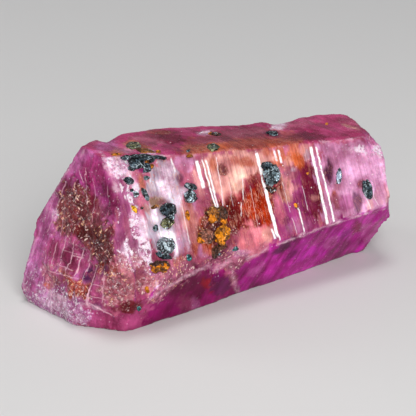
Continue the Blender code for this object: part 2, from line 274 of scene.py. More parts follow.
# %% From a spot in the view to a place on a face
def sight(column, row):
    """The way from the eye through a spot of the view."""
    across, down = ((count - VIEW / 2) / VIEW * SENSOR / LENS for count in (column, row))
    return rightwards * across - upwards * down - back


def seen(column, row):
    """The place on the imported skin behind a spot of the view."""
    return np.array(skin.ray_cast(eye, sight(column, row))[0])


def on_plane(column, row, place, out):
    """Where the line of sight meets the plane through a place, square to out."""
    way = np.array(sight(column, row))
    return np.array(eye) + way * ((place - np.array(eye)) @ out) / (way @ out)


def seen_oval(face, column, row, wide, high, lean=0):
    """An oval of the view laid on a face: its middle, half length and width, and lean in degrees."""
    along, up, out = ways_of(face)
    middle, turn = seen(column, row), radians(lean)
    tips = []
    for across, down in ((wide * cos(turn), wide * sin(turn)), (-high * sin(turn), high * cos(turn))):
        tip = on_plane(column + across, row + down, middle, out) - middle
        tips.append((tip @ along, tip @ up))
    ways, sizes, _ = np.linalg.svd(np.array(tips).T)
    return middle, sizes, degrees(atan2(ways[1, 0], ways[0, 0]))


skin = BVHTree.FromPolygons([point.co for point in body.data.vertices],
                            [tuple(polygon.vertices) for polygon in body.data.polygons])
print("the spot in the middle of the view is at", seen(208, 208).round(1), "mm")

# %% [markdown]
# ## Colour in patches
# The colour of a natural ruby comes in clouds: pale where the skin is etched, dark where one looks
# deep into clear crystal, orange where iron has crept in along cracks. Each face gets a first coat,
# then its larger areas, given by their outlines, then smaller spots, which are ovals. All have
# ragged edges. Each brings a colour, and with it a kind of surface: how frosted it is, how much silk
# shows (fine pale needles that follow the growth), how rusty it is, and how it parts into blocks.

# %% The colours, and the kind of surface that comes with each
PALETTE = {   # red, green, blue; frost, silk, rust, parting
    "snow": ((0.84, 0.74, 0.82), (0.55, 0.3, 0, 0)),
    "chalk": ((0.66, 0.38, 0.54), (1.0, 0, 0, 0)),
    "lilac": ((0.5, 0.49, 0.55), (0.1, 0.7, 0, 0)),
    "lavender": ((0.40, 0.15, 0.32), (0.85, 0, 0, 0)),
    "pale": ((0.66, 0.34, 0.53), (0.3, 0.2, 0, 0)),
    "orchid": ((0.42, 0.11, 0.27), (0.10, 0.3, 0, 0)),
    "mauve": ((0.4, 0.104, 0.265), (0.2, 0.1, 0, 0)),
    "rose": ((0.5, 0.14, 0.22), (0.3, 0.3, 0, 0)),
    "pink": ((0.60, 0.19, 0.24), (0.20, 0.5, 0, 0)),
    "berry": ((0.33, 0.045, 0.14), (0.05, 0.3, 0, 0)),
    "cherry": ((0.47, 0.055, 0.17), (0.05, 0.4, 0, 0)),
    "magenta": ((0.33, 0.028, 0.125), (0.05, 0.2, 0, 0)),
    "mulberry": ((0.33, 0.04, 0.18), (0.1, 0.4, 0, 0)),
    "violet": ((0.38, 0.012, 0.235), (0.02, 1, 0, 0)),
    "iris": ((0.46, 0.018, 0.34), (0.02, 1, 0, 0)),
    "plumred": ((0.2, 0.002, 0.078), (0.0, 0.5, 0, 0)),
    "maroon": ((0.125, 0.001, 0.04), (0.0, 0.4, 0, 0)),
    "burgundy": ((0.16, 0.006, 0.032), (0.1, 0.3, 0, 0)),
    "wine": ((0.12, 0.009, 0.025), (0.0, 0.2, 0, 0)),
    "blood": ((0.13, 0.008, 0.008), (0.0, 0.4, 0.2, 0)),
    "crimson": ((0.28, 0.005, 0.015), (0.0, 0.2, 0, 0)),
    "grape": ((0.09, 0.018, 0.085), (0.10, 0.1, 0, 0.3)),
    "aubergine": ((0.075, 0.006, 0.045), (0.0, 0.5, 0, 0)),
    "dusk": ((0.17, 0.05, 0.10), (0.0, 0.3, 0, 0)),
    "plum": ((0.31, 0.075, 0.12), (0.10, 0.3, 0, 0)),
    "tan": ((0.46, 0.15, 0.085), (0.40, 0.4, 0.3, 0)),
    "sienna": ((0.46, 0.125, 0.07), (0.05, 0.8, 0.1, 0)),
    "olive": ((0.24, 0.13, 0.05), (0.30, 0.1, 0.3, 0)),
    "ochre": ((0.50, 0.21, 0.03), (0.80, 0, 0.5, 0)),
    "peach": ((0.78, 0.4, 0.34), (0.15, 0.25, 0, 0)),
    "coral": ((0.66, 0.19, 0.21), (0.2, 0.4, 0, 0)),
    "salmon": ((0.82, 0.49, 0.39), (0.2, 0.55, 0, 0)),
    "tangerine": ((0.52, 0.14, 0.07), (0.25, 0.45, 0, 0)),
    "orange": ((0.52, 0.1, 0.018), (0.1, 0.6, 0.1, 0)),
    "amber": ((0.43, 0.08, 0.01), (0.9, 0.1, 1, 0)),
    "brick": ((0.18, 0.005, 0.003), (0.05, 1, 0.1, 0)),
    "russet": ((0.19, 0.028, 0.01), (0.4, 0.6, 0.6, 0)),
    "ember": ((0.36, 0.026, 0.002), (0.05, 1, 0.1, 0)),
    "rust": ((0.18, 0.036, 0.024), (0.7, 0, 1, 0)),
    "sand": ((0.5, 0.19, 0.21), (0.75, 0, 0.8, 0)),
    "brown": ((0.11, 0.028, 0.018), (0.60, 0.1, 1.0, 0)),
    "umber": ((0.075, 0.014, 0.008), (0.4, 0.4, 0.8, 0)),
    "crumble": ((0.36, 0.108, 0.175), (0.5, 0, 0.8, 0)),
    "cells": ((0.42, 0.085, 0.21), (0.35, 0, 0.15, 1)),
}
FIRST_COAT = {
    "front": "rose", "top": "cherry", "low": "violet", "high_back": "rose", "low_back": "magenta",
    "bottom": "mauve", "end": "mauve", "foot": "lavender", "nose": "rose", "back_corner": "mauve",
    "top_corner": "mauve", "tail": "orchid", "tail_top": "orchid", "tail_foot": "orchid",
    "tail_back": "orchid",
}
print(len(PALETTE), "colours")

# %% The larger areas: colour, strength, and the outline as columns and rows of the view
AREAS = {
    "end": [
        ("mauve", 0.9, [(98, 138), (84, 148), (72, 160), (61, 174), (50, 192), (42, 215), (33, 238),
            (22, 272), (18, 291), (44, 290), (42, 270), (46, 250), (54, 222), (60, 192), (74, 174),
            (96, 153)]),
        ("mulberry", 0.9, [(72, 176), (86, 160), (100, 153), (106, 172), (114, 188), (121, 208), (118, 224),
            (108, 222), (96, 200), (84, 192)]),
        ("rust", 0.92, [(60, 190), (72, 184), (86, 190), (94, 203), (106, 220), (118, 228), (118, 248),
            (113, 264), (98, 268), (86, 258), (78, 244), (62, 238), (52, 226)]),
        ("cells", 0.9, [(50, 241), (62, 236), (76, 239), (86, 254), (93, 266), (91, 282), (80, 279),
            (64, 273), (50, 268), (46, 254)]),
        ("sand", 0.7, [(43, 258), (52, 268), (64, 274), (62, 290), (74, 300), (56, 296), (44, 284)]),
        ("amber", 0.85, [(62, 274), (74, 275), (82, 281), (91, 281), (89, 294), (87, 302), (77, 299),
            (67, 291)]),
    ],
    "foot": [
        ("lavender", 0.9, [(20, 292), (46, 289), (60, 296), (76, 302), (92, 305), (88, 330), (70, 326),
            (46, 314)]),
    ],
    "nose": [
        ("cells", 0.85, [(92, 272), (104, 279), (106, 294), (108, 309), (92, 306), (89, 298)]),
        ("sand", 0.95, [(106, 264), (116, 256), (130, 262), (143, 272), (147, 284), (153, 296), (138, 300),
            (120, 306), (108, 310), (104, 292), (103, 278)]),
        ("berry", 0.9, [(90, 307), (110, 311), (124, 304), (142, 300), (144, 318), (136, 329), (110, 333),
            (90, 331)]),
    ],
    "low": [
        ("berry", 0.95, [(88, 306), (112, 310), (126, 302), (150, 299), (170, 310), (140, 330), (88, 334)]),
        ("plumred", 0.97, [(146, 303), (158, 296), (168, 286), (186, 275), (206, 266), (222, 268),
            (236, 282), (236, 296), (200, 312), (150, 328), (138, 322)]),
        ("maroon", 0.75, [(160, 294), (170, 284), (188, 275), (205, 267), (212, 280), (196, 294),
            (176, 293)]),
        ("crumble", 0.95, [(143, 299), (150, 303), (163, 291), (185, 278), (206, 267), (216, 271),
            (227, 266), (222, 257), (200, 257), (180, 266), (160, 282)]),
        ("violet", 0.97, [(236, 270), (246, 262), (262, 253), (300, 236), (350, 219), (388, 208),
            (388, 230), (372, 248), (330, 264), (280, 282), (240, 294)]),
        ("iris", 0.75, [(288, 246), (312, 238), (350, 226), (352, 238), (326, 252), (292, 262)]),
    ],
    "front": [
        ("chalk", 0.95, [(98, 150), (126, 150), (134, 158), (131, 176), (134, 192), (134, 206), (143, 217),
            (152, 236), (155, 262), (146, 276), (128, 264), (112, 258), (116, 240), (120, 214), (112, 186),
            (102, 166)]),
        ("orchid", 0.95, [(98, 155), (106, 164), (112, 180), (119, 196), (126, 212), (124, 236), (118, 252),
            (111, 258), (114, 238), (117, 215), (108, 188), (101, 170)]),
        ("lilac", 0.9, [(150, 160), (172, 157), (184, 170), (187, 196), (184, 216), (186, 246), (178, 256),
            (152, 250), (146, 222), (146, 180)]),
        ("salmon", 0.95, [(196, 156), (230, 151), (264, 149), (268, 160), (262, 178), (243, 181),
            (236, 192), (226, 197), (214, 192), (202, 178)]),
        ("brick", 0.95, [(228, 188), (242, 180), (262, 175), (282, 168), (288, 200), (282, 222), (276, 230),
            (240, 228), (226, 222), (222, 206)]),
        ("ember", 0.92, [(247, 190), (258, 186), (268, 190), (274, 212), (276, 228), (264, 228), (254, 216),
            (246, 205)]),
        ("coral", 0.9, [(238, 226), (256, 225), (273, 228), (280, 242), (262, 250), (244, 258),
            (234, 246)]),
        ("tangerine", 0.9, [(266, 150), (284, 147), (299, 144), (306, 156), (304, 168), (290, 167),
            (268, 163)]),
        ("crumble", 0.95, [(150, 303), (148, 292), (166, 278), (186, 264), (206, 258), (216, 266),
            (206, 270), (186, 282), (164, 296)]),
        ("salmon", 0.42, [(280, 166), (296, 167), (298, 178), (292, 202), (288, 210), (284, 196)]),
        ("burgundy", 0.95, [(302, 162), (314, 160), (322, 190), (327, 214), (320, 224), (306, 216),
            (298, 204), (300, 180)]),
        ("mulberry", 0.85, [(300, 176), (304, 196), (312, 214), (296, 216), (290, 204)]),
        ("mulberry", 0.85, [(276, 204), (290, 211), (302, 215), (322, 222), (330, 230), (300, 240),
            (278, 246), (272, 226)]),
        ("pale", 0.95, [(316, 142), (352, 137), (378, 142), (392, 170), (390, 212), (360, 216), (340, 224),
            (328, 230), (324, 200), (318, 170)]),
    ],
    "top": [
        ("cherry", 0.95, [(282, 122), (342, 114), (358, 124), (370, 138), (340, 143), (304, 145),
            (286, 136)]),
        ("sienna", 0.55, [(176, 156), (182, 142), (205, 134), (232, 132), (262, 129), (286, 130),
            (304, 138), (306, 150), (260, 154), (220, 158)]),
        ("sienna", 0.8, [(186, 156), (200, 146), (228, 141), (252, 139), (276, 138), (300, 141), (306, 150),
            (260, 154), (220, 158)]),
    ],
}
print(sum(len(rows) for rows in AREAS.values()), "areas")

# %% The smaller spots: colour, column, row, half width and height, any lean in degrees, strength
SPOTS = {
    "end": [
        # the wine spots at columns 114 and 104 are painted shade in the valley left of the ridge
        ("magenta", 92, 172, 12, 14, 0.6), ("wine", 114, 206, 5, 17, -18, 0.6),
        ("wine", 104, 184, 4, 16, -22, 0.25), ("plum", 99, 212, 7, 12, -12, 0.6),
        ("burgundy", 91, 203, 3, 18, -4, 0.7), ("burgundy", 66, 186, 6, 8, 20, 0.6),
        ("blood", 77, 231, 6, 6, 0.8), ("wine", 110, 234, 6, 6, 0.85), ("brown", 100, 240, 11, 15, 0.55),
        ("umber", 84, 233, 7, 8, 0.7), ("burgundy", 55, 250, 5, 8, 10, 0.6),
        ("burgundy", 64, 256, 3.5, 9, 12, 0.6), ("burgundy", 73, 262, 3.5, 9, 14, 0.6),
        ("burgundy", 82, 264, 3, 8, 14, 0.5), ("grape", 87, 275, 6, 7, 0.95),
        ("amber", 101, 266, 11, 2.5, 4, 0.9), ("amber", 98, 272, 4, 3, 0.9),
        ("tangerine", 46, 286, 3, 3, 0.85), ("chalk", 55, 214, 4, 5, 0.7),
        ("lavender", 30, 275, 10, 14, 20, 0.6), ("mauve", 46, 232, 7, 10, 20, 0.6),
    ],
    "foot": [("snow", 57, 304, 12, 5, 28, 0.6), ("snow", 80, 318, 5, 3, 20, 0.4)],
    "nose": [
        ("amber", 112, 270, 6, 4, 0.6), ("grape", 106, 269, 4, 3, 0.8), ("grape", 97, 306, 5, 3, 0.6),
        ("plum", 138, 274, 9, 5, 30, 0.7), ("blood", 132, 308, 13, 6, 0.9),
    ],
    "low": [
        ("blood", 132, 308, 13, 6, 0.9), ("crimson", 209, 285, 6, 5, -20, 0.9),
        ("plum", 187, 304, 8, 7, 0.35), ("aubergine", 220, 285, 12, 9, -30, 0.8),
        ("lavender", 195, 304, 4, 5, 0.4), ("sand", 232, 274, 4, 13, -10, 0.55),
        ("crumble", 230, 264, 10, 5, -12, 0.9), ("rose", 250, 257, 16, 3, -24, 0.8),
        ("crumble", 238, 253, 14, 8, -22, 0.95), ("pink", 256, 250, 10, 4, -24, 0.85),
        ("pale", 240, 251, 9, 5, -22, 0.5), ("aubergine", 284, 247, 12, 3.5, -38, 0.85),
        ("aubergine", 290, 256, 9, 2.5, -40, 0.6), ("mulberry", 318, 240, 12, 4, -30, 0.7),
        ("orchid", 331, 242, 9, 5, -40, 0.6), ("orchid", 256, 270, 10, 4, -30, 0.5),
        ("burgundy", 357, 228, 5, 7, 20, 0.85), ("orchid", 372, 234, 10, 12, 30, 0.5),
        ("aubergine", 346, 233, 8, 3, -30, 0.5),
    ],
    "front": [
        ("snow", 121, 172, 8, 9, 0.55), ("snow", 117, 160, 8, 5, 0.6), ("snow", 140, 252, 6, 8, 0.5),
        ("chalk", 132, 266, 9, 6, 0.35), ("snow", 124, 252, 3, 8, 0.5), ("orchid", 132, 243, 6, 8, 0.6),
        # the snow spots at columns 166 and 168 are painted glints on frosted ledges
        ("rose", 128, 228, 4, 12, -12, 0.6), ("snow", 166, 183, 7, 16, 6, 0.95),
        ("snow", 168, 167, 4, 5, 0.7), ("tan", 142, 184, 3, 9, -10, 0.85), ("olive", 157, 202, 9, 6, 0.85),
        ("dusk", 164, 203, 5, 4, 0.6), ("tan", 147, 208, 5, 4, 30, 0.6), ("snow", 154, 217, 4, 7, 0.9),
        ("snow", 143, 228, 4, 11, -10, 0.95), ("snow", 134, 215, 3, 9, -10, 0.6),
        ("rose", 138, 200, 4, 6, 0.6), ("snow", 165, 235, 9, 4, 0.95), ("snow", 175, 246, 3, 10, -8, 0.95),
        ("orchid", 180, 243, 3, 16, -8, 0.55), ("snow", 187, 238, 3, 16, -12, 0.6),
        ("pale", 184, 163, 12, 8, 0.9), ("rose", 183, 167, 7, 4, 0.5), ("dusk", 180, 178, 4, 4, 0.85),
        ("pale", 190, 206, 5, 9, 0.7), ("snow", 178, 200, 4, 12, -8, 0.55),
        ("rose", 178, 226, 4, 12, -8, 0.5), ("peach", 191, 222, 7, 22, -8, 0.85),
        ("tangerine", 194, 226, 3.2, 24, -10, 0.6), ("orange", 204, 224, 6, 8, 0.8),
        ("tangerine", 196, 247, 4, 7, 10, 0.9), ("pale", 204, 250, 8, 10, 20, 0.95),
        ("rose", 205, 262, 9, 4, -20, 0.6), ("sand", 172, 272, 14, 6, -20, 0.85),
        ("lavender", 152, 276, 6, 8, 0.7), ("snow", 160, 284, 6, 5, 0.7),
        ("russet", 181, 261, 10, 6, -30, 0.6), ("burgundy", 157, 258, 5, 6, 0.6),
        ("rose", 200, 175, 4, 14, -14, 0.7), ("wine", 209, 186, 3, 16, -16, 0.5),
        ("plum", 202, 198, 6, 8, -10, 0.5), ("peach", 199, 186, 4, 14, -14, 0.5),
        ("peach", 183, 214, 4, 12, -8, 0.6), ("tangerine", 188, 200, 3, 8, -8, 0.5),
        ("peach", 196, 232, 5, 13, -8, 0.8), ("orange", 213, 164, 4, 8, -12, 0.75),
        ("peach", 224, 186, 8, 10, 0.9), ("peach", 226, 161, 10, 5, 0.6),
        ("brick", 222.5, 170, 3.6, 4.8, 0.7), ("coral", 231, 196, 8, 6, -34, 0.5),
        ("coral", 250, 181, 9, 4, -24, 0.45), ("orange", 247, 162, 8, 5, 0.7),
        ("orange", 235, 160, 5, 5, 0.5), ("peach", 256, 156, 6, 5, 0.6),
        ("blood", 233, 209, 7, 13, -8, 0.85), ("burgundy", 246, 186, 10, 7, -10, 0.5),
        ("blood", 256, 180, 6, 5, 0.6), ("salmon", 236, 180, 7, 12, -12, 0.6),
        ("russet", 213, 226, 11, 22, 8, 0.95), ("russet", 232, 228, 8, 8, 0.7),
        ("orange", 207, 246, 5, 9, -10, 0.8), ("umber", 218, 226, 12, 18, 10, 0.85),
        ("umber", 219, 253, 9, 9, 0.9), ("wine", 233, 243, 6, 6, 0.4),
        ("crumble", 222, 262, 12, 7, 30, 0.9), ("rose", 234, 262, 9, 6, -20, 0.8),
        ("pink", 251, 236, 9, 8, 0.6), ("salmon", 268, 236, 5, 8, 0.6), ("rose", 262, 248, 14, 3, -22, 0.7),
        ("peach", 268, 158, 7, 8, 0.7), ("orange", 266, 152, 4, 4, 0.6),
        ("orange", 298, 160, 5, 8, -10, 0.8), ("plum", 290, 173, 7, 6, 0.8), ("dusk", 288, 173, 4, 3, 0.6),
        ("lilac", 293, 170, 3, 2, 0.5), ("coral", 280, 213, 4, 14, -14, 0.5),
        ("rose", 276, 200, 3, 12, -14, 0.5), ("peach", 305, 150, 6, 6, 0.7), ("lilac", 307, 155, 3, 6, 0.6),
        ("aubergine", 288, 225, 5, 6, -10, 0.6), ("berry", 313, 200, 6, 10, -12, 0.5),
        ("orchid", 300, 226, 12, 8, -14, 0.7), ("pale", 298, 228, 10, 6, -14, 0.3),
        ("salmon", 315, 198, 4, 3, 0.7), ("aubergine", 330, 172, 6, 13, -10, 0.95),
        ("plum", 338, 186, 4, 5, 0.5), ("plum", 335, 200, 5, 9, -14, 0.9), ("brick", 334, 194, 3, 4, 0.6),
        ("orchid", 347, 203, 8, 9, 0.8), ("aubergine", 358, 202, 5, 11, -14, 0.8),
        ("chalk", 364, 150, 9, 6, 10, 0.7), ("chalk", 348, 148, 8, 5, 0.4), ("brick", 361, 184, 3, 4, 0.7),
        ("salmon", 371, 205, 4, 8, 0.5),
    ],
    "tail": [
        ("pale", 378, 175, 12, 30, 0.8), ("chalk", 384, 172, 5, 7, 0.5), ("salmon", 384, 195, 4, 9, 0.5),
        ("chalk", 380, 154, 5, 7, 0.5),
    ],
    "tail_top": [("orchid", 372, 142, 14, 8, 25, 0.7), ("chalk", 378, 148, 6, 3, 30, 0.7)],
    "top": [
        ("plum", 150, 140, 28, 7, -6, 0.9), ("orchid", 106, 146, 12, 6, -20, 0.9),
        ("burgundy", 171, 138, 13, 6, 14, 0.8), ("wine", 172, 148, 9, 3, 14, 0.6),
        ("tan", 138, 146, 14, 4, 14, 0.8), ("chalk", 148, 152, 8, 3, 10, 0.85),
        ("tan", 160, 132, 12, 2, 0.6), ("chalk", 126, 151, 8, 2.5, 4, 0.8), ("snow", 118, 150, 3, 2, 0.5),
        # the chalk spot at column 205 and the snow spot at column 280 are painted highlights on the top
        # face
        ("tan", 195, 149, 14, 4, -4, 0.85), ("plum", 212, 139, 20, 4, 0.8), ("chalk", 205, 133, 8, 3, 0.75),
        ("orange", 222, 147, 8, 3, 0.6), ("plum", 245, 132, 30, 5, -3, 0.9),
        ("snow", 280, 126, 9, 3, -4, 0.9), ("orange", 272, 142, 8, 3, 0.6),
        ("aubergine", 273, 133, 8, 3, 8, 0.6), ("burgundy", 308, 136, 18, 5, 0.6),
        ("rose", 300, 124, 18, 4, -8, 0.6), ("rose", 350, 124, 12, 5, 20, 0.7),
        ("peach", 351, 127, 8, 1.5, 20, 0.9), ("ochre", 117, 153, 6, 4, 0.6),
        ("rose", 126, 150, 12, 5, 0.5),
    ],
}
print(sum(len(rows) for rows in SPOTS.values()), "spots")

# %% Spots on the faces turned away: colour, middle in mm, half length and width, lean, strength
FAR_SPOTS = {
    "high_back": [
        ("chalk", (3.5, 11.0, 9.0), (3.2, 2.6), 10, 0.8), ("orchid", (1.5, 11.0, 8.5), (1.6, 3.0), 10, 0.8),
        ("pale", (8.0, 10.4, 8.6), (2.6, 3.4), 15, 0.8), ("lilac", (7.6, 10.4, 9.6), (1.6, 1.6), 60, 0.7),
        ("tangerine", (13.0, 9.8, 8.4), (3.4, 3.0), 20, 0.85),
        ("orange", (12.4, 9.8, 8.0), (1.6, 1.4), 80, 0.8),
        ("salmon", (15.4, 9.6, 9.0), (1.8, 1.6), 70, 0.8),
        ("brick", (10.8, 10.0, 7.2), (1.5, 1.1), 80, 0.85),
        ("burgundy", (18.2, 9.0, 7.8), (2.0, 2.8), 10, 0.85),
        ("mulberry", (20.0, 8.8, 7.4), (1.4, 2.6), 15, 0.8),
        ("pale", (24.0, 8.6, 7.2), (3.0, 3.0), 0, 0.85), ("chalk", (25.4, 8.4, 7.0), (1.4, 1.8), 0, 0.6),
    ],
    "low_back": [
        ("mulberry", (4.0, 10.0, 2.6), (3.6, 2.4), 10, 0.8),
        ("rose", (6.0, 9.8, 3.4), (2.4, 1.2), -20, 0.6), ("plum", (12.6, 9.4, 2.6), (3.8, 2.0), -8, 0.8),
        ("tangerine", (13.6, 9.4, 3.8), (2.2, 0.9), 0, 0.7),
        ("violet", (19.6, 9.0, 2.8), (4.6, 2.6), 10, 0.9),
        ("orchid", (23.6, 8.8, 3.0), (2.2, 1.8), 30, 0.7),
        ("aubergine", (17.6, 9.0, 2.2), (1.6, 0.5), 50, 0.6),
    ],
    "back_corner": [
        ("magenta", (-1.0, 10.4, 6.0), (2.0, 2.6), 20, 0.7),
        ("chalk", (0.4, 11.4, 8.4), (1.4, 1.6), 0, 0.6),
    ],
}
print(sum(len(rows) for rows in FAR_SPOTS.values()), "spots out of sight")

# %% How much an oval or an area covers
EDGE_SOFTNESS = {"front": 0.30, "end": 0.45, "nose": 0.30, "foot": 0.35, "low": 0.35}     # mm
OTHER_SOFTNESS = 0.6     # mm, on the other faces
RAGGED = 0.42            # how far noise pushes an edge in and out: in mm, or in an oval's half widths
AREA_REACH = (2.2, 1.5)  # mm out of an area's plane where it has faded away, and where it starts to
front_up = ways_of("front")[1]
stretched = places - 0.6 * on_face["front"][:, None] * (places @ front_up)[:, None] * front_up
rags = np.array([facets(stretched, 1.3, 61), facets(stretched, 0.65, 62), hills(stretched, 0.30, 63)])


def oval_cover(face, place, reach, lean, seed, softness=None):
    """How much of an oval on a face covers each point, from 0 to 1."""
    along, up, out = ways_of(face)
    turn = radians(lean)
    away = places - np.array(place)
    long_part = away @ (along * cos(turn) + up * sin(turn)) / reach[0]
    short_part = away @ (up * cos(turn) - along * sin(turn)) / reach[1]
    depth_part = away @ out / max(0.9, 0.6 * reach[1])
    draw = np.random.default_rng(seed)
    weights = draw.uniform(0.5, 1.0, 3) * draw.choice([-1, 1], 3) * RAGGED * 0.7
    far = np.sqrt(long_part ** 2 + short_part ** 2 + depth_part ** 2) + weights @ rags
    soft = min(0.8, (softness or EDGE_SOFTNESS.get(face, OTHER_SOFTNESS)) / min(reach))
    return ramp(far, 1.0 + soft / 2, 1.0 - soft / 2)


def from_line(spots, start, end):
    """How far each spot is from the line between two ends."""
    run, away = end - start, spots - start
    share = np.clip(away @ run / (run @ run), 0, 1)
    return np.linalg.norm(away - share[:, None] * run, axis=1)


def area_cover(face, outline, seed):
    """How much of an outlined area covers each point, from 0 to 1."""
    along, up, out = ways_of(face)
    middle = seen(*np.mean(outline, axis=0))
    corners = np.array([on_plane(*spot, middle, out) for spot in outline]) @ np.stack([along, up], 1)
    spots = places @ np.stack([along, up], 1)
    nearest_edge, inside = np.full(len(places), 99.0), np.zeros(len(places), bool)
    for start, end in zip(corners, np.roll(corners, -1, axis=0)):
        nearest_edge = np.minimum(nearest_edge, from_line(spots, start, end))
        run, away = end - start, spots - start
        crosses = (start[1] > spots[:, 1]) != (end[1] > spots[:, 1])
        inside ^= crosses & (away[:, 0] < away[:, 1] * run[0] / (run[1] or 1e-9))
    depth = np.where(inside, nearest_edge, -nearest_edge)
    depth += RAGGED * (np.random.default_rng(seed).choice([-1, 1], 3) @ rags)
    soft = EDGE_SOFTNESS.get(face, OTHER_SOFTNESS)
    return ramp(depth, -soft / 2, soft / 2) * ramp(np.abs((places - middle) @ out), *AREA_REACH)


print("noise moves an edge by up to", round(RAGGED * float(np.abs(rags).sum(0).max()), 2), "mm")

# %% The worn edges, pale from wear and from a painted highlight along them
WOBBLE = 0.16            # mm, how far a worn edge strays to and fro
WORN_AND_LIT_EDGES = [   # half width in mm, strength, and the columns and rows of the view along the edge
    (0.07, 0.9, [(248, 258), (264, 251), (280, 244), (300, 236), (322, 228), (350, 219), (385, 209)]),
    (0.10, 0.6, [(150, 299), (163, 290), (185, 277), (207, 266)]),
    (0.12, 0.6, [(207, 266), (217, 271), (228, 264)]), (0.12, 0.4, [(230, 262), (233, 276), (238, 291)]),
    (0.05, 0.5, [(150, 156), (190, 156), (232, 149)]), (0.08, 0.8, [(320, 142), (350, 139), (370, 139)]),
    (0.16, 0.8, [(100, 152), (108, 168), (117, 190)]), (0.10, 0.7, [(24, 289), (46, 291)]),
    (0.14, 0.7, [(46, 291), (62, 298), (86, 305), (104, 310)]),
    (0.05, 0.5, [(95, 141), (84, 152), (73, 164), (62, 178), (52, 196), (44, 218), (36, 240), (26, 272),
                 (23, 287)]),
]


def worn_and_lit_cover():
    """1 on the worn edges, pale from wear and a painted highlight, 0 away from them."""
    cover = np.zeros(len(places))
    wobble = WOBBLE * hills(places, 0.6, 81)
    for half_width, strength, spots in WORN_AND_LIT_EDGES:
        line = [seen(*spot) for spot in spots]
        for start, end in zip(line, line[1:]):
            far = from_line(places, start, end) + wobble
            cover = np.maximum(cover, strength * ramp(far, half_width + 0.14, half_width - 0.06))
    return cover


edge = worn_and_lit_cover()
print("worn:", round(float(edge.mean()), 3))

# %% Lay the areas and the spots on
KEEP_TO_GROWN, KEEP_TO_BROKEN = (0.58, 0.76), (0.30, 0.55)     # how squarely a point faces a face's way
FROST_OF_BREAKS, FROST_OF_EDGES = 0.40, 0.7
AREA_SEED, AREAS_OF_A_FACE, OVALS_OF_A_FACE = 2000, 50, 100    # so that no two share a ragged edge


def lay(name, cover):
    """Lays one colour of the palette, and its kind of surface, over what is there."""
    global colour, kind
    cover = cover[:, None]
    colour = colour * (1 - cover) + np.array(PALETTE[name][0]) * cover
    kind = kind * (1 - cover) + np.array(PALETTE[name][1]) * cover


colour, kind = np.zeros((len(places), 3)), np.zeros((len(places), 4))
for face, name in FIRST_COAT.items():
    colour += on_face[face][:, None] * np.array(PALETTE[name][0])
    kind += on_face[face][:, None] * np.array(PALETTE[name][1])
for number, face in enumerate(FACES):
    # a colour keeps to the face that it is laid on
    keep = KEEP_TO_GROWN if number < GROWN_FACES else KEEP_TO_BROKEN
    own = ramp(facing[:, number] + 0.10 * rags[2], *keep)
    for k, (name, strength, outline) in enumerate(AREAS.get(face, [])):
        lay(name, area_cover(face, outline, AREA_SEED + AREAS_OF_A_FACE * number + k) * strength * own)
    near, far = SPOTS.get(face, []), FAR_SPOTS.get(face, [])
    ovals = [(name, *seen_oval(face, *view_oval), strength) for name, *view_oval, strength in near] + far
    for k, (name, *oval, strength) in enumerate(ovals):
        lay(name, oval_cover(face, *oval, OVALS_OF_A_FACE * number + k) * strength * own)
frost = np.clip(np.maximum(kind[:, 0], FROST_OF_BREAKS * broken), 0, 1)
frost = np.maximum(frost, FROST_OF_EDGES * edge)
silk, rust, parting = kind[:, 1], kind[:, 2], kind[:, 3]
print("frosted:", round(float(frost.mean()), 2), "silky:", round(float(silk.mean()), 2))

# %% [markdown]
# ## Relief
# On grown faces the relief is striation: low steps square to the long axis, left as growth went on.
# On breaks it is facets and parting blocks. Frosted skin is etched, so it is pitted all over. A few
# places are hollowed or stand proud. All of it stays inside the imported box.

# %% Striation on the grown faces
LEAN = 0.10              # the growth rings lean this far along X for each mm up
STRIAE = [(0.42, 0.014, 3), (0.95, 0.024, 5), (2.1, 0.032, 8)]   # spacing and height in mm, seed


def stair(along, spacing, seed):
    """Level treads of uneven height, with short risers between them."""
    step = along / spacing
    low = np.floor(step)
    here = scramble(np.stack([low, low * 0, low * 0], 1), seed)
    there = scramble(np.stack([low + 1, low * 0, low * 0], 1), seed)
    return here + (there - here) * ramp(step - low, 0.72, 1.0) - 0.5


ringed = places[:, 0] - LEAN * places[:, 2] + nearest * 17.0     # each face has steps of its own
striation = np.zeros(len(places))
for spacing, height, seed in STRIAE:
    fade = 0.35 + 0.65 * ramp(hills(places, 3.0, seed + 20), -0.2, 0.5)
    striation += height * fade * stair(ringed, spacing, seed)
print("striae reach", round(float(np.abs(striation).max()), 3), "mm")

# %% Hollows, parting blocks and etched skin
HOLLOWS = [   # face, column, row, half width and height, any lean, depth in mm (below 0 stands proud)
    ("end", 90, 212, 17, 34, -10, 0.26), ("end", 78, 262, 16, 12, 0.18),
    ("front", 114, 195, 5, 32, -18, -0.06), ("front", 222.5, 170, 3.8, 5, 0.28),
    ("front", 224, 186, 8, 9, -0.12), ("front", 358, 202, 5, 10, -14, 0.1),
    ("front", 222, 266, 14, 9, 20, 0.14), ("front", 330, 172, 6, 13, -10, 0.06),
]
HOLLOW_SEED, HOLLOW_SOFTNESS = 300, 0.5
BLOCK_SIZE = (0.62, 0.50, 0.90)        # mm along the end, up it, and into it
BLOCK_STEP, BLOCK_GAP = 0.15, 0.07     # mm that blocks differ in height, and that the gaps are deep
FAR_END = (22.0, 24.5)                 # mm along, where the broken right end begins, and is all there is

struck = np.clip(on_face["end"] + 0.8 * on_face["nose"] + 0.5 * on_face["foot"], 0, 1)
block_grid = np.stack([places @ way / size for way, size in zip(ways_of("end"), BLOCK_SIZE)], 1)
block_grid += 0.22 * np.stack([hills(places, 1.3, seed) for seed in (71, 72, 73)], 1)
block_number, _, block_edge = cells(block_grid, 1.0, 7)
blocks = BLOCK_STEP * (block_number - 0.5) - BLOCK_GAP * ramp(block_edge, 0.12, 0.0)
hackle = 0.070 * facets(places, 0.75, 11) + 0.035 * facets(places, 0.36, 12)     # mm high, mm wide
pit_edge = cells(places, 0.55, 15)[2]
etching = -0.060 * ramp(pit_edge, 0.25, 0.0) + 0.035 * facets(places, 0.42, 16)

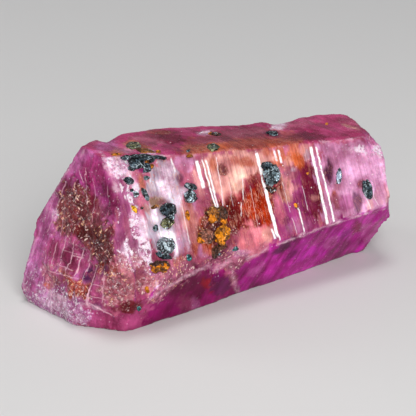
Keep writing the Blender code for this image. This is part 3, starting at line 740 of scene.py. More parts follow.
relief = striation * grown * (1 - frost) + broken * (0.15 + 0.6 * frost) * hackle
relief += struck * blocks * np.clip(0.15 + 0.8 * rust, 0, 1) + grown * frost * etching
tail = on_face["tail"] + on_face["tail_top"] + on_face["tail_foot"] + on_face["tail_back"]
far_end = ramp(places[:, 0], *FAR_END)
relief += far_end * (0.20 * tail * facets(places, 1.5, 21) + 0.10 * hills(places, 1.1, 22))
relief += 0.05 * hills(places, 2.2, 31)
for k, (face, *view_oval, depth) in enumerate(HOLLOWS):
    relief -= depth * oval_cover(face, *seen_oval(face, *view_oval), HOLLOW_SEED + k, HOLLOW_SOFTNESS)
relief *= 1 - 0.9 * on_face["bottom"]         # the crystal rests on it, so it stays nearly flat
places = places + normals * relief[:, None]
places[:, 2] = np.maximum(places[:, 2], 0.0)
write_skin(body, places)
print("relief runs from", round(float(relief.min()), 3), "to", round(float(relief.max()), 3), "mm")


# %% Store the colour and the kind of surface on the points
DEEP, LIGHT = np.array((0.50, 0.22, 0.34)), np.array((1.38, 1.48, 1.45))     # tints of depth


def store(piece, name, values):
    """Keeps a colour for each point under a name that a material can read."""
    layer = piece.data.attributes.new(name, "FLOAT_COLOR", "POINT")
    full = np.concatenate([values, np.ones((len(values), 4 - values.shape[1]))], 1)
    layer.data.foreach_set("color", full.astype(np.float32).ravel())


shades = [(ramp(hills(places, width, seed), -0.7, 0.7), share)
          for width, seed, share in ((2.2, 91, 0.50), (0.9, 92, 0.45), (0.42, 93, 0.30))]
# the last pair is painted shade: each parting block a little lighter or darker, as its plane would be lit
for shade, share in [*shades, (block_number, 0.7 * parting)]:
    tint = DEEP + (LIGHT - DEEP) * shade[:, None]
    colour = colour * (1 + np.reshape(share, (-1, 1)) * (tint - 1))
store(body, "tint", colour)
store(body, "kind", np.stack([frost, silk, rust, parting], 1))
store(body, "side", np.stack([on_face["front"], on_face["low"], edge, struck], 1))
print("tint, kind and side are stored")

# %% [markdown]
# ## The ruby material
# Ruby bends light strongly (IOR 1.77), so its faces are glossy. Inside, silk and cracks scatter the
# light, so it glows instead of looking painted: that is subsurface scattering, deepest for red.
# What is finer than the net is left to the material. It starts from the stored colour, and each
# step lays something over it, in the places that the stored kind of surface gives.

# %% Node helpers
def new_material(name):
    """A new material and its shader. Every node made from then on goes into it."""
    global tree
    material = bpy.data.materials.new(name)
    material.use_nodes = True
    tree = material.node_tree
    return material, tree.nodes["Principled BSDF"]


def plug(node, inputs):
    """Gives each named input a plain value, or links another node's output to it."""
    for key, value in inputs.items():
        if isinstance(value, bpy.types.NodeSocket):
            tree.links.new(value, node.inputs[key])
        else:
            node.inputs[key].default_value = value


def add(kind, inputs, **settings):
    """Adds a node of a kind to the tree, with its inputs plugged in."""
    node = tree.nodes.new("ShaderNode" + kind)
    for key, value in settings.items():
        setattr(node, key, value)
    plug(node, inputs)
    return node


def reckon(operation, a, b=0.0):
    return add("Math", {0: a, 1: b}, operation=operation).outputs[0]


def product(*factors):
    """Multiplies any number of outputs and plain numbers."""
    total = factors[0]
    for factor in factors[1:]:
        total = reckon("MULTIPLY", total, factor)
    return total


def on_vectors(operation, a, b):
    return add("VectorMath", {0: a, 1: b}, operation=operation).outputs[0]


def levels(value, low, high, out_low=0.0, out_high=1.0):
    """As ramp() does for arrays: out_low up to low, out_high from high on."""
    inputs = {"Value": value, "From Min": low, "From Max": high, "To Min": out_low, "To Max": out_high}
    return add("MapRange", inputs, interpolation_type="SMOOTHSTEP").outputs["Result"]


def mix(share, first, second, kind="RGBA"):
    """The first where the share is 0, the second where it is 1."""
    slots = {"RGBA": (0, 6, 7, 2), "FLOAT": (0, 2, 3, 0)}[kind]
    inputs = {slots[0]: share, slots[1]: first, slots[2]: second}
    return add("Mix", inputs, data_type=kind).outputs[slots[3]]


def paint(base, colour, *shares):
    """Lays a colour over the base, as strongly as the shares multiplied."""
    return mix(product(*shares), base, (*colour, 1.0))


def split(colour):
    return add("SeparateColor", {"Color": colour}).outputs


def stored(name):
    """A stored colour as three numbers, the fourth number, and the colour itself."""
    node = add("Attribute", {}, attribute_name=name)
    return [*split(node.outputs["Color"])[:3], node.outputs["Alpha"], node.outputs["Color"]]


# %% Places and noise in millimetres
def in_mm():
    """The place that is being shaded, in the collector's millimetres."""
    where = add("TexCoord", {}).outputs["Object"]
    return on_vectors("SUBTRACT", on_vectors("MULTIPLY", where, (1 / MM,) * 3), [c / MM for c in corner])


def measure(here, way):
    """How far a place lies along a way."""
    return add("VectorMath", {0: here, 1: tuple(way)}, operation="DOT_PRODUCT").outputs["Value"]


def laid_out(here, ways, scales):
    """The place measured along three ways, each with its own scale in cells per mm."""
    parts = [product(measure(here, way), scale) for way, scale in zip(ways, scales)]
    return add("CombineXYZ", dict(zip("XYZ", parts))).outputs[0]


def noise(vector, scale, detail=3.0, rough=0.6, bend=0.0):
    inputs = {"Vector": vector, "Scale": scale, "Detail": detail, "Roughness": rough, "Distortion": bend}
    return add("TexNoise", inputs).outputs["Fac"]


def threads(value, half_width):
    """Thin lines where a noise crosses its middle."""
    return levels(reckon("ABSOLUTE", reckon("SUBTRACT", value, 0.5)), half_width, 0.0)


def cell_pattern(here, scale, **settings):
    """One random number for each cell, and how far its middle is."""
    node = add("TexVoronoi", {"Vector": here, "Scale": scale}, feature="F1", **settings)
    return split(node.outputs["Color"])[0], node.outputs["Distance"]


def chips(here, scale):
    """A cell pattern with straight edges, like the planes of a chipped surface."""
    return cell_pattern(here, scale, distance="MANHATTAN")


def flecks(here, scale, size, share):
    """Small round spots in some cells of a cell pattern."""
    number, away = cell_pattern(here, scale)
    return product(levels(away, size, size * 0.5), levels(number, share + 0.02, share - 0.02))


def dashes(here, ways, scale, size, share):
    """Short strokes along the first way, in some cells of a stretched cell pattern."""
    return flecks(laid_out(here, ways, (scale * 0.34, scale, scale)), 1.0, size, share)


def deepen(base, shade, share):
    """Multiplies by a pale tint where shade is 1 and by ruby red where it is 0, as depth does."""
    tint = mix(share, (1.0, 1.0, 1.0, 1.0), mix(shade, (*DEEP, 1.0), (*LIGHT, 1.0)))
    return on_vectors("MULTIPLY", base, tint)


print("node helpers ready")

# %% The painted glints on the growth ledges of the front, and the parting lines on the end
RING_WAY = (1.0, 0.0, -LEAN)
LINE_BLUR, LINE_FADE = 0.03, 0.1     # mm, how soft a line is at its sides and at its tips
# painted highlights: thin white glints where the growth ledges would mirror the lamps
LEDGE_GLINTS = [   # top and foot as columns and rows of the view, half width in mm, brightness
    ((196.5, 161), (203.5, 188), 0.14, 0.95), ((202, 160), (216, 208), 0.06, 0.95),
    ((206, 160), (218, 208), 0.07, 0.85), ((216, 157), (223, 206), 0.04, 0.6),
    ((256.5, 153), (276.5, 233), 0.115, 1.0), ((274, 150), (277, 161), 0.1, 0.85),
    ((278.5, 150), (281.5, 163), 0.09, 0.95), ((271.5, 229), (275, 243), 0.09, 0.95),
    ((275.5, 231), (279.5, 242), 0.105, 0.95), ((310.5, 147), (327.5, 224), 0.115, 1.0),
    ((316, 147), (334, 222), 0.075, 1.0), ((298, 208), (304, 232), 0.06, 0.9),
    ((302, 186), (308, 210), 0.03, 0.5), ((242.5, 178), (243, 200), 0.04, 0.6),
    ((241, 203), (241.5, 216), 0.05, 0.6), ((282, 182), (290, 212), 0.03, 0.45),
    ((174, 233), (177.5, 253), 0.07, 0.8), ((171, 158), (175, 172), 0.07, 0.7),
    ((363, 190), (368, 216), 0.07, 0.55), ((373, 193), (376, 214), 0.04, 0.45),
    ((250, 186), (258, 226), 0.03, 0.35), ((228, 182), (233, 206), 0.03, 0.4),
    ((292, 218), (297, 234), 0.03, 0.5), ((182, 206), (190, 244), 0.04, 0.5),
]

PARTING_LINES = [   # the same columns: top, foot, half width, brightness
    ((66, 238), (56, 272), 0.0455, 0.98), ((74, 240), (64, 274), 0.052, 1),
    ((82, 250), (74, 276), 0.065, 1), ((89, 254), (80, 284), 0.0585, 0.98),
    ((97, 266), (88, 305), 0.078, 1), ((104, 277), (102, 303), 0.0455, 0.8),
    ((57, 243), (51, 266), 0.039, 0.69), ((91, 246), (88, 262), 0.039, 0.69),
    ((92, 178), (90, 222), 0.0325, 0.63), ((86, 168), (84, 200), 0.039, 0.69),
    ((108, 186), (106, 214), 0.039, 0.52), ((79, 170), (81, 182), 0.039, 0.8),
    ((66, 181), (47, 232), 0.065, 0.46), ((54, 196), (47, 222), 0.039, 0.4),
    ((46, 248), (43, 284), 0.0455, 0.52), ((62, 250), (84, 256), 0.0325, 0.4),
    ((70, 255), (82, 258), 0.052, 0.86), ((57, 264), (72, 270), 0.039, 0.57),
    ((48, 270), (78, 279), 0.039, 0.69), ((92, 284), (104, 287), 0.039, 0.69),
    ((90, 296), (106, 300), 0.039, 0.69), ((64, 240), (84, 248), 0.0325, 0.4),
    ((89, 303), (112, 315), 0.065, 0.92), ((64, 205), (60, 236), 0.039, 0.52),
]


def line_mask(here, face, lines, wide, near):
    """White on straight thin lines across a face, broken up here and there."""
    wobble = levels(noise(here, 2.0), 0.3, 0.7, -wide, wide)
    total = None
    for top, foot, half_width, bright in lines:
        high, low = seen(*top), seen(*foot)
        along = (high - low) / np.linalg.norm(high - low)
        across = np.cross(along, ways_of(face)[2])
        across /= np.linalg.norm(across)
        off = reckon("SUBTRACT", measure(here, across), float(high @ across))
        off = reckon("ABSOLUTE", reckon("ADD", off, wobble))
        up = measure(here, along)
        foot_at, top_at = float(low @ along), float(high @ along)
        line = product(levels(off, half_width + LINE_BLUR, half_width - LINE_BLUR), bright,
                       levels(up, foot_at - LINE_FADE, foot_at + LINE_FADE),
                       levels(up, top_at + LINE_FADE, top_at - LINE_FADE))
        total = line if total is None else reckon("MAXIMUM", total, line)
    return product(total, near, levels(noise(here, 2.2, 3.0), 0.30, 0.48, 0.45, 1.0))


# %% The rough skin, where painted shade shifts sharply from plane to plane
ruby, ruby_shader = new_material("raw_ruby")
here = in_mm()
frosted, silky, rusty, _, _ = stored("kind")
on_front, on_low, on_edge, on_end, _ = stored("side")
base = stored("tint")[4]
uneven = reckon("MAXIMUM", frosted, rusty)

wide_chip, wide_reach = chips(here, 2.6)
fine_chip, fine_reach = chips(here, 5.0)
clumps = noise(here, 3.2, 4.0, 0.7)
rough_shade = reckon("ADD", product(wide_chip, 0.42), product(fine_chip, 0.36))
rough_shade = reckon("ADD", rough_shade, levels(clumps, 0.30, 0.70, -0.15, 0.40))
# painted shade: each chip of frosted or rusty skin lighter or darker, as its plane would be lit
base = deepen(base, rough_shade, uneven)
print("rough skin:", len(tree.nodes), "nodes")

# %% [markdown]
# ## Silk
# Silk is a haze of very fine needles inside the ruby, laid down ring by ring as it grew. There are
# far too many to draw. A noise stretched along the growth rings has the same look, and the thin
# lines where it crosses its middle value are the single bright hairs.

# %% Silk: needles along the growth rings on the front, slanting on the lower face
along, up, out = ways_of("front")
low_along, low_up, low_out = ways_of("low")
slant, across = low_along * 0.30 + low_up * 0.95, low_along * 0.95 - low_up * 0.30
needles = noise(laid_out(here, (RING_WAY, up, out), (3.4, 0.28, 0.5)), 1.0, 3.0, 0.7, 0.3)
fibres = noise(laid_out(here, (across, slant, low_out), (1.5, 0.30, 0.5)), 1.0, 3.0, 0.6, 0.4)
silk_shade = mix(on_low, levels(needles, 0.33, 0.67), levels(fibres, 0.30, 0.70), "FLOAT")
base = deepen(base, silk_shade, product(silky, 0.75))
striae = noise(laid_out(here, (RING_WAY, up, out), (4.5, 0.10, 0.3)), 1.0, 3.0, 0.7)
base = deepen(base, levels(striae, 0.40, 0.60), product(on_front, 0.18))
hairs = product(threads(needles, 0.022), on_front, silky, levels(noise(here, 1.3), 0.42, 0.58))
base = paint(base, (0.88, 0.46, 0.34), hairs, 0.8)
for lean in (0.55, -0.40):     # radians; two sets of finer hairs cross the first
    way, across = up * cos(lean) + along * sin(lean), along * cos(lean) - up * sin(lean)
    crossing = noise(laid_out(here, (across, way, out), (2.4, 0.35, 0.5)), 1.0, 2.0, 0.6, 0.6)
    crossing = product(threads(crossing, 0.014), on_front, silky,
                       levels(noise(here, 1.0 + lean), 0.45, 0.58))
    base = paint(base, (0.72, 0.21, 0.09), crossing, 0.75)
print("with silk:", len(tree.nodes), "nodes")

# %% [markdown]
# ## Rust, and the parting of the end
# Iron crept into the broken end and dried there as dark spots and straw-like crystals. A smooth
# noise never looks like straw, so short strokes are laid in the cells of a stretched pattern, three
# ways across each other. The end also parts in blocks. The seams between them are few and straight,
# so each is drawn where it is.

# %% Rust: dark spots, and short straw-coloured strokes lying three ways
along, up, out = ways_of("end")
dark_spot = product(levels(noise(here, 2.4, 4.0), 0.52, 0.62), rusty)
base = paint(base, (0.05, 0.012, 0.008), dark_spot, 0.65)
steep, level = up * 0.9 + along * 0.4, along * 0.8 - up * 0.6
strokes = reckon("MAXIMUM", dashes(here, (steep, level, out), 5.2, 0.36, 0.52),
                 dashes(here, (level, steep, out), 4.5, 0.34, 0.48))
strokes = reckon("MAXIMUM", strokes, dashes(here, (up, along, out), 3.4, 0.28, 0.36))
straw = mix(levels(noise(here, 0.7), 0.42, 0.58), (0.92, 0.66, 0.60, 1.0), (0.86, 0.47, 0.26, 1.0))
base = mix(product(strokes, rusty, 0.9), base, straw)
print("with rust:", len(tree.nodes), "nodes")

# %% The end: streaked up and down, and parted into blocks by pale lines
streaks = noise(laid_out(here, (up, along, out), (0.45, 2.2, 1.0)), 1.0, 3.0, 0.65, 0.5)
base = deepen(base, levels(streaks, 0.34, 0.66), product(on_end, 0.5))
lines = line_mask(here, "end", PARTING_LINES, 0.035, on_end)
base = paint(base, (0.82, 0.46, 0.56), lines, 0.85)
print("with the parting lines:", len(tree.nodes), "nodes")

# %% [markdown]
# ## Frost
# Etched skin is full of tiny pits and chips that scatter white light. Each kind has its own size,
# so each gets its own cell pattern or noise, cut off sharply to leave crisp flecks. Some white
# flecks are painted sparkle. The painted glints along the growth ledges on the front are the
# brightest marks on the crystal, and come last.

# %% Frost: magenta pits, paler worn edges with a painted highlight, white flecks, and painted sparkle
not_rusty = levels(rusty, 0.4, 0.1)
pits = reckon("MAXIMUM", flecks(here, 2.6, 0.40, 0.55), flecks(here, 5.2, 0.42, 0.45))
base = paint(base, (0.36, 0.055, 0.19), pits, levels(frosted, 0.45, 0.85), not_rusty, 0.85)
# the worn edges are paler: partly wear, partly a painted highlight along the edges
worn_and_lit_edge = product(on_edge, levels(noise(here, 2.5, 4.0, 0.7), 0.34, 0.58, 0.2, 1.0))
base = paint(base, (0.84, 0.52, 0.64), worn_and_lit_edge, 0.70)
snow = product(levels(noise(here, 4.0, 5.0, 0.75), 0.52, 0.59), levels(frosted, 0.40, 0.95))
base = paint(base, (0.95, 0.84, 0.91), snow, levels(rusty, 0.3, 0.8, 0.85, 0.30))
flake = product(levels(chips(here, 1.7)[0], 0.58, 0.62), levels(frosted, 0.5, 0.9), not_rusty,
                levels(clumps, 0.36, 0.48), levels(on_end, 0.2, 0.6, 1.0, 0.15))
base = paint(base, (0.94, 0.82, 0.90), flake, 0.75)
# painted sparkle: tiny white glints, sparse everywhere and fewer on the lower face, thicker on frost
stray_sparkle = product(flecks(here, 1.6, 0.11, 0.30), levels(on_low, 1.0, 0.0, 0.3, 1.0))
frost_sparkle = product(flecks(here, 3.1, 0.22, 0.5), frosted, levels(rusty, 0.3, 0.8, 1.0, 0.75))
base = paint(base, (0.95, 0.88, 0.92), reckon("MAXIMUM", stray_sparkle, frost_sparkle), 0.8)
# painted highlight: the white glints along the growth ledges on the front
base = paint(base, (0.98, 0.93, 0.95), line_mask(here, "front", LEDGE_GLINTS, 0.03, on_front))
print("with frost and ledges:", len(tree.nodes), "nodes")

# %% Gloss, and relief finer than the net
grit = noise(here, 5.0, 3.0)
roughness = mix(uneven, levels(grit, 0.3, 0.7, 0.12, 0.28), levels(grit, 0.3, 0.7, 0.18, 0.55), "FLOAT")
chip_height = product(reckon("ADD", wide_reach, product(fine_reach, 0.5)), uneven, 0.9)
line_height = reckon("ADD", product(needles, silky, 0.5), product(lines, -0.5))
bump = add("Bump", {"Height": reckon("ADD", chip_height, line_height), "Strength": 0.8,
                    "Distance": 0.10 * MM})
plug(ruby_shader, {
    "Base Color": base, "Roughness": roughness, "Normal": bump.outputs["Normal"], "IOR": 1.77,
    "Specular IOR Level": 0.10, "Specular Tint": (1.0, 0.65, 0.85, 1.0),
    "Subsurface Weight": 0.30, "Subsurface Radius": (1.0, 0.25, 0.45), "Subsurface Scale": 0.9 * MM,
})
body.data.materials.append(ruby)
print("the ruby material has", len(tree.nodes), "nodes")

# %% Take the body to metres, and hand it to the frame
body.data.transform(TO_METRES)
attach(body, "root")
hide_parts("ruby_crystal")
print("the body has", len(body.data.vertices), "points")

# %% [markdown]
# ## Dark grains
# Small dark minerals grew together with the ruby, half sunk in its faces. Each is a cluster of
# angular bits. One bit is an icosphere whose points are pushed on to flat facets. A grain is one
# large bit with smaller ones round it, flattened against the face. All grains are then melted into
# clean skins by a fine voxel remesh, which takes away the walls hidden inside the clusters. Rusty
# crusts of iron minerals are made the same way.

# %% One angular bit
CUTS = 14                # flat cuts that shape a bit


def bit(where, size, seed):
    """An icosphere cut to flat facets, in mm, its Z out of the face."""
    bpy.ops.object.select_all(action="DESELECT")
    bpy.ops.mesh.primitive_ico_sphere_add(subdivisions=4, radius=1.0)
    made = bpy.context.object
    spots, _ = read_skin(made)
    draw = np.random.default_rng(seed)
    cuts = draw.normal(size=(CUTS, 3))
    cuts /= np.linalg.norm(cuts, axis=1)[:, None]
    depth = draw.uniform(0.62, 0.95, CUTS)
    reach = np.minimum(1.0, (depth / np.maximum(spots @ cuts.T, 0.01)).min(1))
    spots = spots * (reach + 0.06 * facets(spots + seed, 0.5, 51))[:, None] * np.array(size)
    write_skin(made, spots)
    made.data.transform(where)
    return made


# %% A grain of several bits
SPREAD = 1.16            # a grain is a little wider than the oval it is given
BIG = 0.45               # mm; above this half length a grain has five smaller bits, else two
TURN_ON = 2.4            # radians from one smaller bit to the next, so that they spread all round


def grain(face, place, reach, lean, proud, seed):
    """One large bit and smaller ones round it, inside an oval on the skin."""
    spot = body.closest_point_on_mesh(TO_METRES @ Vector(place))[1]
    turn = Matrix([Vector(way) for way in ways_of(face)]).transposed().to_4x4()
    base = Matrix.Translation(TO_MM @ spot) @ turn @ Matrix.Rotation(radians(lean), 4, "Z")
    draw = np.random.default_rng(seed)
    reach = np.array(reach) * SPREAD
    made = [bit(base, (*reach, proud), seed)]
    for count in range(1, 6 if reach[0] > BIG else 3):
        angle, away = TURN_ON * count + draw.uniform(0, 0.8), draw.uniform(0.50, 0.72)
        shift = Vector((reach[0] * away * cos(angle), reach[1] * away * sin(angle), -0.15 * proud))
        size = np.array([*reach, proud * 2.0]) * draw.uniform(0.32, 0.50, 3)
        made.append(bit(base @ Matrix.Translation(shift), size, seed + count))
    return made


# %% Melt the clusters into one piece with clean skins
GRAIN_NET = 0.05         # mm, one quad on a grain


def melt(name, clusters):
    """Joins the bits, remeshes them, and gives every point the tone of its own grain."""
    tones, middles = [], KDTree(sum(len(bits) for _, bits in clusters))
    for tone, bits in clusters:
        for made in bits:
            points = made.data.vertices
            middles.insert(sum((point.co for point in points), Vector()) / len(points), len(tones))
            tones.append(tone)
    middles.balance()
    bpy.ops.object.select_all(action="DESELECT")
    for _, bits in clusters:
        for made in bits:
            made.select_set(True)
    whole = clusters[0][1][0]
    bpy.context.view_layer.objects.active = whole
    bpy.ops.object.join()
    whole.name = whole.data.name = name
    lay_net(whole, GRAIN_NET)
    tone_of = [tones[middles.find(point.co)[1]] for point in whole.data.vertices]
    store(whole, "tint", np.array(tone_of))
    whole.data.transform(TO_METRES)
    print(name, "has", len(clusters), "grains and", len(whole.data.polygons), "quads")
    return whole


# %% Place the dark grains
TONES = {
    "black": (0.035, 0.055, 0.070), "silver": (0.42, 0.50, 0.55), "steel": (0.17, 0.23, 0.26),
    "olive": (0.15, 0.15, 0.075), "teal": (0.05, 0.22, 0.22), "ice": (0.30, 0.36, 0.46),
    "gold": (0.60, 0.18, 0.006), "yellow": (0.90, 0.45, 0.01), "ochre": (0.64, 0.21, 0.006),
    "brown": (0.26, 0.09, 0.015), "umber": (0.10, 0.035, 0.02), "cocoa": (0.30, 0.11, 0.075),
}
DARK = [      # tone, face, column, row, half width and height, any lean in degrees, how proud in mm
    ("black", "front", 137, 163, 7, 6.5, 0.3), ("steel", "front", 132, 168, 3.5, 3, 0.24),
    ("black", "front", 146.5, 168, 4, 5, 0.34), ("steel", "front", 146.5, 178, 3, 2.2, 0.2),
    ("black", "front", 150, 160, 5, 3, 0.24), ("black", "top", 127, 157.5, 6, 1.6, 0.16),
    ("black", "top", 142, 157, 11, 2.4, 0.18), ("black", "top", 158, 157, 8, 1.6, 8, 0.14),
    ("black", "front", 128.5, 181, 5, 3.5, 20, 0.24), ("silver", "front", 135.8, 194.5, 3, 3, 0.18),
    ("black", "front", 132, 190.5, 1.8, 1.8, 0.14), ("steel", "front", 145.5, 194.5, 6.5, 2.4, 62, 0.18),
    ("black", "front", 169, 210, 6.3, 8, 100, 0.3), ("steel", "front", 171, 217, 4, 3.5, 0.22),
    ("olive", "front", 168, 223, 6, 5.5, 0.22), ("steel", "front", 155.7, 228, 2.6, 3.3, 0.16),
    ("silver", "front", 166, 246, 8, 8.3, 0.42), ("black", "front", 163, 256, 7.5, 3, 14, 0.26),
    ("teal", "front", 189, 257.5, 2.6, 3.2, -20, 0.18), ("black", "front", 190.5, 186.5, 6, 3.6, 14, 0.28),
    ("steel", "front", 190.5, 196, 5.4, 5.6, 0.3), ("teal", "front", 235.5, 249, 3, 2.6, 0.18),
    ("black", "front", 267, 166, 5, 4, 0.34), ("steel", "front", 272, 175.5, 7.5, 10.5, -18, 0.4),
    ("umber", "front", 271.5, 189, 5, 4, 30, 0.14), ("ice", "front", 339, 176.5, 2.6, 8.5, 2, 0.1),
    ("black", "front", 368, 188.5, 4.2, 9.5, -14, 0.26), ("steel", "front", 365, 190, 3, 4, -20, 0.24),
    ("olive", "top", 213.5, 147, 6, 3, 0.2), ("umber", "top", 216, 134, 5, 1.8, 0.14),
    ("black", "top", 273, 133, 6, 1.8, 8, 0.14), ("olive", "top", 134, 145.5, 7, 3.2, 4, 0.2),
    ("teal", "low", 139, 309, 2.4, 2.0, -30, 0.14), ("black", "top", 188, 151, 2.4, 1.0, -20, 0.1),
    ("umber", "front", 142, 208, 1.6, 1.6, 0.1), ("black", "front", 219, 254, 2, 2, 0.14),
    ("steel", "front", 191, 199, 5.4, 3.4, -6, 0.26),
]
FAR_DARK = [  # tone, face, middle in mm, half length and width, lean, how proud
    ("black", "high_back", (5.6, 10.8, 9.6), (0.72, 0.52), 10, 0.28),
    ("steel", "high_back", (6.5, 10.7, 8.9), (0.42, 0.5), 0, 0.22),
    ("steel", "high_back", (14.6, 9.6, 7.6), (0.8, 0.58), 60, 0.28),
    ("olive", "high_back", (10.2, 10.0, 9.4), (0.5, 0.4), 0, 0.2),
    ("black", "high_back", (21.4, 8.7, 8.3), (0.5, 0.36), 30, 0.24),
    ("black", "high_back", (3.0, 11.0, 7.6), (0.36, 0.3), 0, 0.18),
    ("olive", "low_back", (9.2, 9.6, 3.2), (0.5, 0.4), 0, 0.2),
    ("black", "low_back", (22.0, 8.9, 2.2), (0.5, 0.34), 80, 0.2),
]


def clusters_of(near, far, near_seed, far_seed):
    """The tone and the bits of each grain in a list of seen ones and a list of ones out of sight."""
    made = []
    for k, (tone, face, *view_oval, proud) in enumerate(near):
        made.append((TONES[tone], grain(face, *seen_oval(face, *view_oval), proud, near_seed + 10 * k)))
    for k, (tone, face, *oval, proud) in enumerate(far):
        made.append((TONES[tone], grain(face, *oval, proud, far_seed + 10 * k)))
    return made


dark_grains = melt("dark_grains", clusters_of(DARK, FAR_DARK, near_seed=0, far_seed=700))

# %% Rusty crusts
CRUSTS = [
    ("gold", "front", 146, 162, 2.6, 2.8, 0.38), ("gold", "front", 151, 166.5, 2.4, 2.6, 0.34),
    ("umber", "front", 161, 265, 8.5, 5, 5, 0.22), ("gold", "front", 156, 269, 4.5, 4, 0.3),
    ("gold", "front", 164, 268, 4.5, 4.5, 0.3), ("yellow", "front", 134.5, 209, 5, 2, 62, 0.14),
    ("gold", "front", 187.5, 215.5, 6, 2.2, 84, 0.14), ("brown", "front", 213, 213, 6, 6, 0.22),
    ("umber", "front", 221, 215, 6, 8, 0.26), ("gold", "front", 213, 220, 4, 3.5, 0.26),
    ("gold", "front", 224, 222, 3, 2.5, 0.26), ("ochre", "front", 222.5, 235, 6.5, 9.5, 8, 0.36),
    ("cocoa", "front", 207, 236, 8.5, 7.5, 0.2), ("gold", "front", 200, 240, 3.5, 3, 40, 0.14),
    ("umber", "front", 216, 251, 4, 7, 10, 0.2), ("umber", "front", 222, 246, 5, 4, 0.18),
    ("ochre", "front", 295.5, 205.5, 2, 3.4, -20, 0.12), ("gold", "top", 211, 133.5, 2.4, 1.4, 0.16),
    ("ochre", "top", 326.7, 124, 1.7, 1.0, 0.08), ("ochre", "top", 189.5, 155.5, 3.5, 1.6, 0.1),
    ("ochre", "front", 116, 155, 5, 2.2, 0.12), ("brown", "top", 146, 151, 9, 2.6, 14, 0.14),
    ("ochre", "top", 158, 152, 3, 1.4, 10, 0.12), ("ochre", "nose", 147, 290, 2.2, 3.6, -20, 0.12),
    ("ochre", "front", 307.5, 173.5, 1.4, 1.4, 0.08), ("brown", "front", 155, 207, 4, 2, -20, 0.1),
]
FAR_CRUSTS = [
    ("brown", "high_back", (11.4, 10.0, 7.6), (0.7, 0.5), 40, 0.22),
    ("gold", "high_back", (11.9, 9.9, 8.2), (0.36, 0.3), 0, 0.24),
    ("umber", "high_back", (12.2, 9.8, 7.0), (0.44, 0.6), 0, 0.2),
    ("ochre", "low_back", (14.8, 9.3, 3.6), (0.34, 0.22), 0, 0.14),
]
rust_crusts = melt("rust_crusts", clusters_of(CRUSTS, FAR_CRUSTS, near_seed=1500, far_seed=2500))

# %% Their materials
FACET_DEPTH = 0.14       # mm, how deep the small planes of a grain seem


def facet_lit_tone(here, scale, *shade):
    """The tone stored for the grain, with painted light: darker on some planes and brighter on others."""
    return on_vectors("MULTIPLY", stored("tint")[4], levels(chips(here, scale)[0], *shade))


def facet_bump(here, scale):
    inputs = {"Height": chips(here, scale)[1], "Strength": 1.0, "Distance": FACET_DEPTH * MM}
    return add("Bump", inputs).outputs["Normal"]


def dark_material():
    """Black and steel: small planes of uneven depth and painted light, with painted highlights on the edges
    where two planes meet.
    """
    material, shader = new_material("dark_mineral")
    here = in_mm()
    base = facet_lit_tone(here, 3.4, 0.15, 0.95, 0.15, 2.1)
    # painted highlights along some edges between the grain's planes
    seams = add("TexVoronoi", {"Vector": here, "Scale": 2.6}, feature="DISTANCE_TO_EDGE")
    lit = product(levels(seams.outputs["Distance"], 0.10, 0.03), levels(noise(here, 1.9), 0.50, 0.58))
    base = paint(base, (0.62, 0.74, 0.80), lit, 0.8)
    base = paint(base, (0.004, 0.006, 0.009), levels(noise(here, 3.4, 3.0, 0.7), 0.52, 0.58), 0.85)
    rough = levels(noise(here, 6.0), 0.3, 0.7, 0.10, 0.35)
    plug(shader, {"Base Color": base, "Roughness": rough, "Metallic": 0.45,
                  "Normal": facet_bump(here, 4.5)})
    return material


def crust_material():
    """Iron oxide: brown and ochre, with painted light on its small planes, painted golden glints and black
    gaps.
    """
    material, shader = new_material("iron_crust")
    here = in_mm()
    base = facet_lit_tone(here, 3.8, 0.1, 0.9, 0.35, 1.5)
    base = paint(base, (0.030, 0.008, 0.004), levels(noise(here, 2.8, 4.0, 0.7), 0.52, 0.60), 0.85)
    # painted highlight: small golden glints
    base = paint(base, (0.95, 0.60, 0.22), flecks(here, 4.2, 0.28, 0.22), 0.85)
    rough = levels(noise(here, 6.0), 0.3, 0.7, 0.15, 0.6)
    plug(shader, {"Base Color": base, "Roughness": rough, "Specular IOR Level": 0.30,
                  "Normal": facet_bump(here, 4.0)})
    return material


for piece, material, slot in ((dark_grains, dark_material(), "dark_mineral"),
                              (rust_crusts, crust_material(), "iron_crust")):
    piece.data.materials.clear()
    piece.data.materials.append(material)
    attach(piece, "root")
print("grains and crusts are dressed")

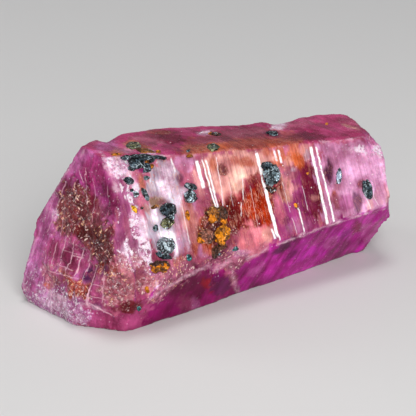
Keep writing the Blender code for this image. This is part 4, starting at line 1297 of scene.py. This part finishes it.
# %% [markdown]
# ## Floor and light
# A pale floor and five soft lamps, each wider than the crystal, show the form without hiding it in
# glare. Two stand in front, a little to the left: one strong, and one wide to fill the shadows.

# %% Floor
FLOOR_HEIGHT = -0.00002  # metres, so that the floor and the underside don't share one plane

bpy.ops.object.select_all(action="DESELECT")
bpy.ops.mesh.primitive_plane_add(size=2.4, location=(0.0, 0.0, FLOOR_HEIGHT))
floor = bpy.context.object
floor.name = "floor"
floor_material, floor_shader = new_material("pale_floor")
plug(floor_shader, {"Base Color": (0.68, 0.67, 0.66, 1.0), "Roughness": 0.55})
floor.data.materials.append(floor_material)
print("the floor is", round(floor.dimensions.x, 1), "m wide")

# %% Lamps
LAMPS = [     # name, the way to it, and in metres its distance and width; power in watts
    ("front_softbox", (-0.33, -0.78, 0.52), 0.30, 0.14, 0.52),
    ("front_fill", (-0.38, -0.80, 0.46), 0.36, 0.30, 0.50),
    ("top_softbox", (0.1, 0.1, 1.0), 0.35, 0.14, 0.42),
    ("left_softbox", (-0.9, 0.25, 0.5), 0.35, 0.10, 0.06),
    ("back_softbox", (-0.55, 0.80, 0.50), 0.35, 0.16, 0.20),
]
LIT_HEIGHT = 0.006       # metres, about the middle of the crystal; the lamps look at it
for name, toward, distance, width, power in LAMPS:
    light = bpy.data.lights.new(name, "AREA")
    light.shape, light.size, light.energy = "SQUARE", width, power
    holder = bpy.data.objects.new(name, light)
    bpy.context.scene.collection.objects.link(holder)
    way = Vector(toward).normalized()
    holder.location = way * distance + Vector((0.0, 0.0, LIT_HEIGHT))
    holder.rotation_euler = way.to_track_quat("Z", "Y").to_euler()
print(len(LAMPS), "lamps")

# %% The room, and how its light is turned to colour
world = bpy.data.worlds.new("soft_room")
world.use_nodes = True
sky = world.node_tree.nodes["Background"].inputs
sky["Color"].default_value, sky["Strength"].default_value = (0.9, 0.93, 1.0, 1.0), 0.16
bpy.context.scene.world = world
bpy.context.scene.view_settings.view_transform = "Standard"
print("the room's light has strength", round(sky["Strength"].default_value, 2))
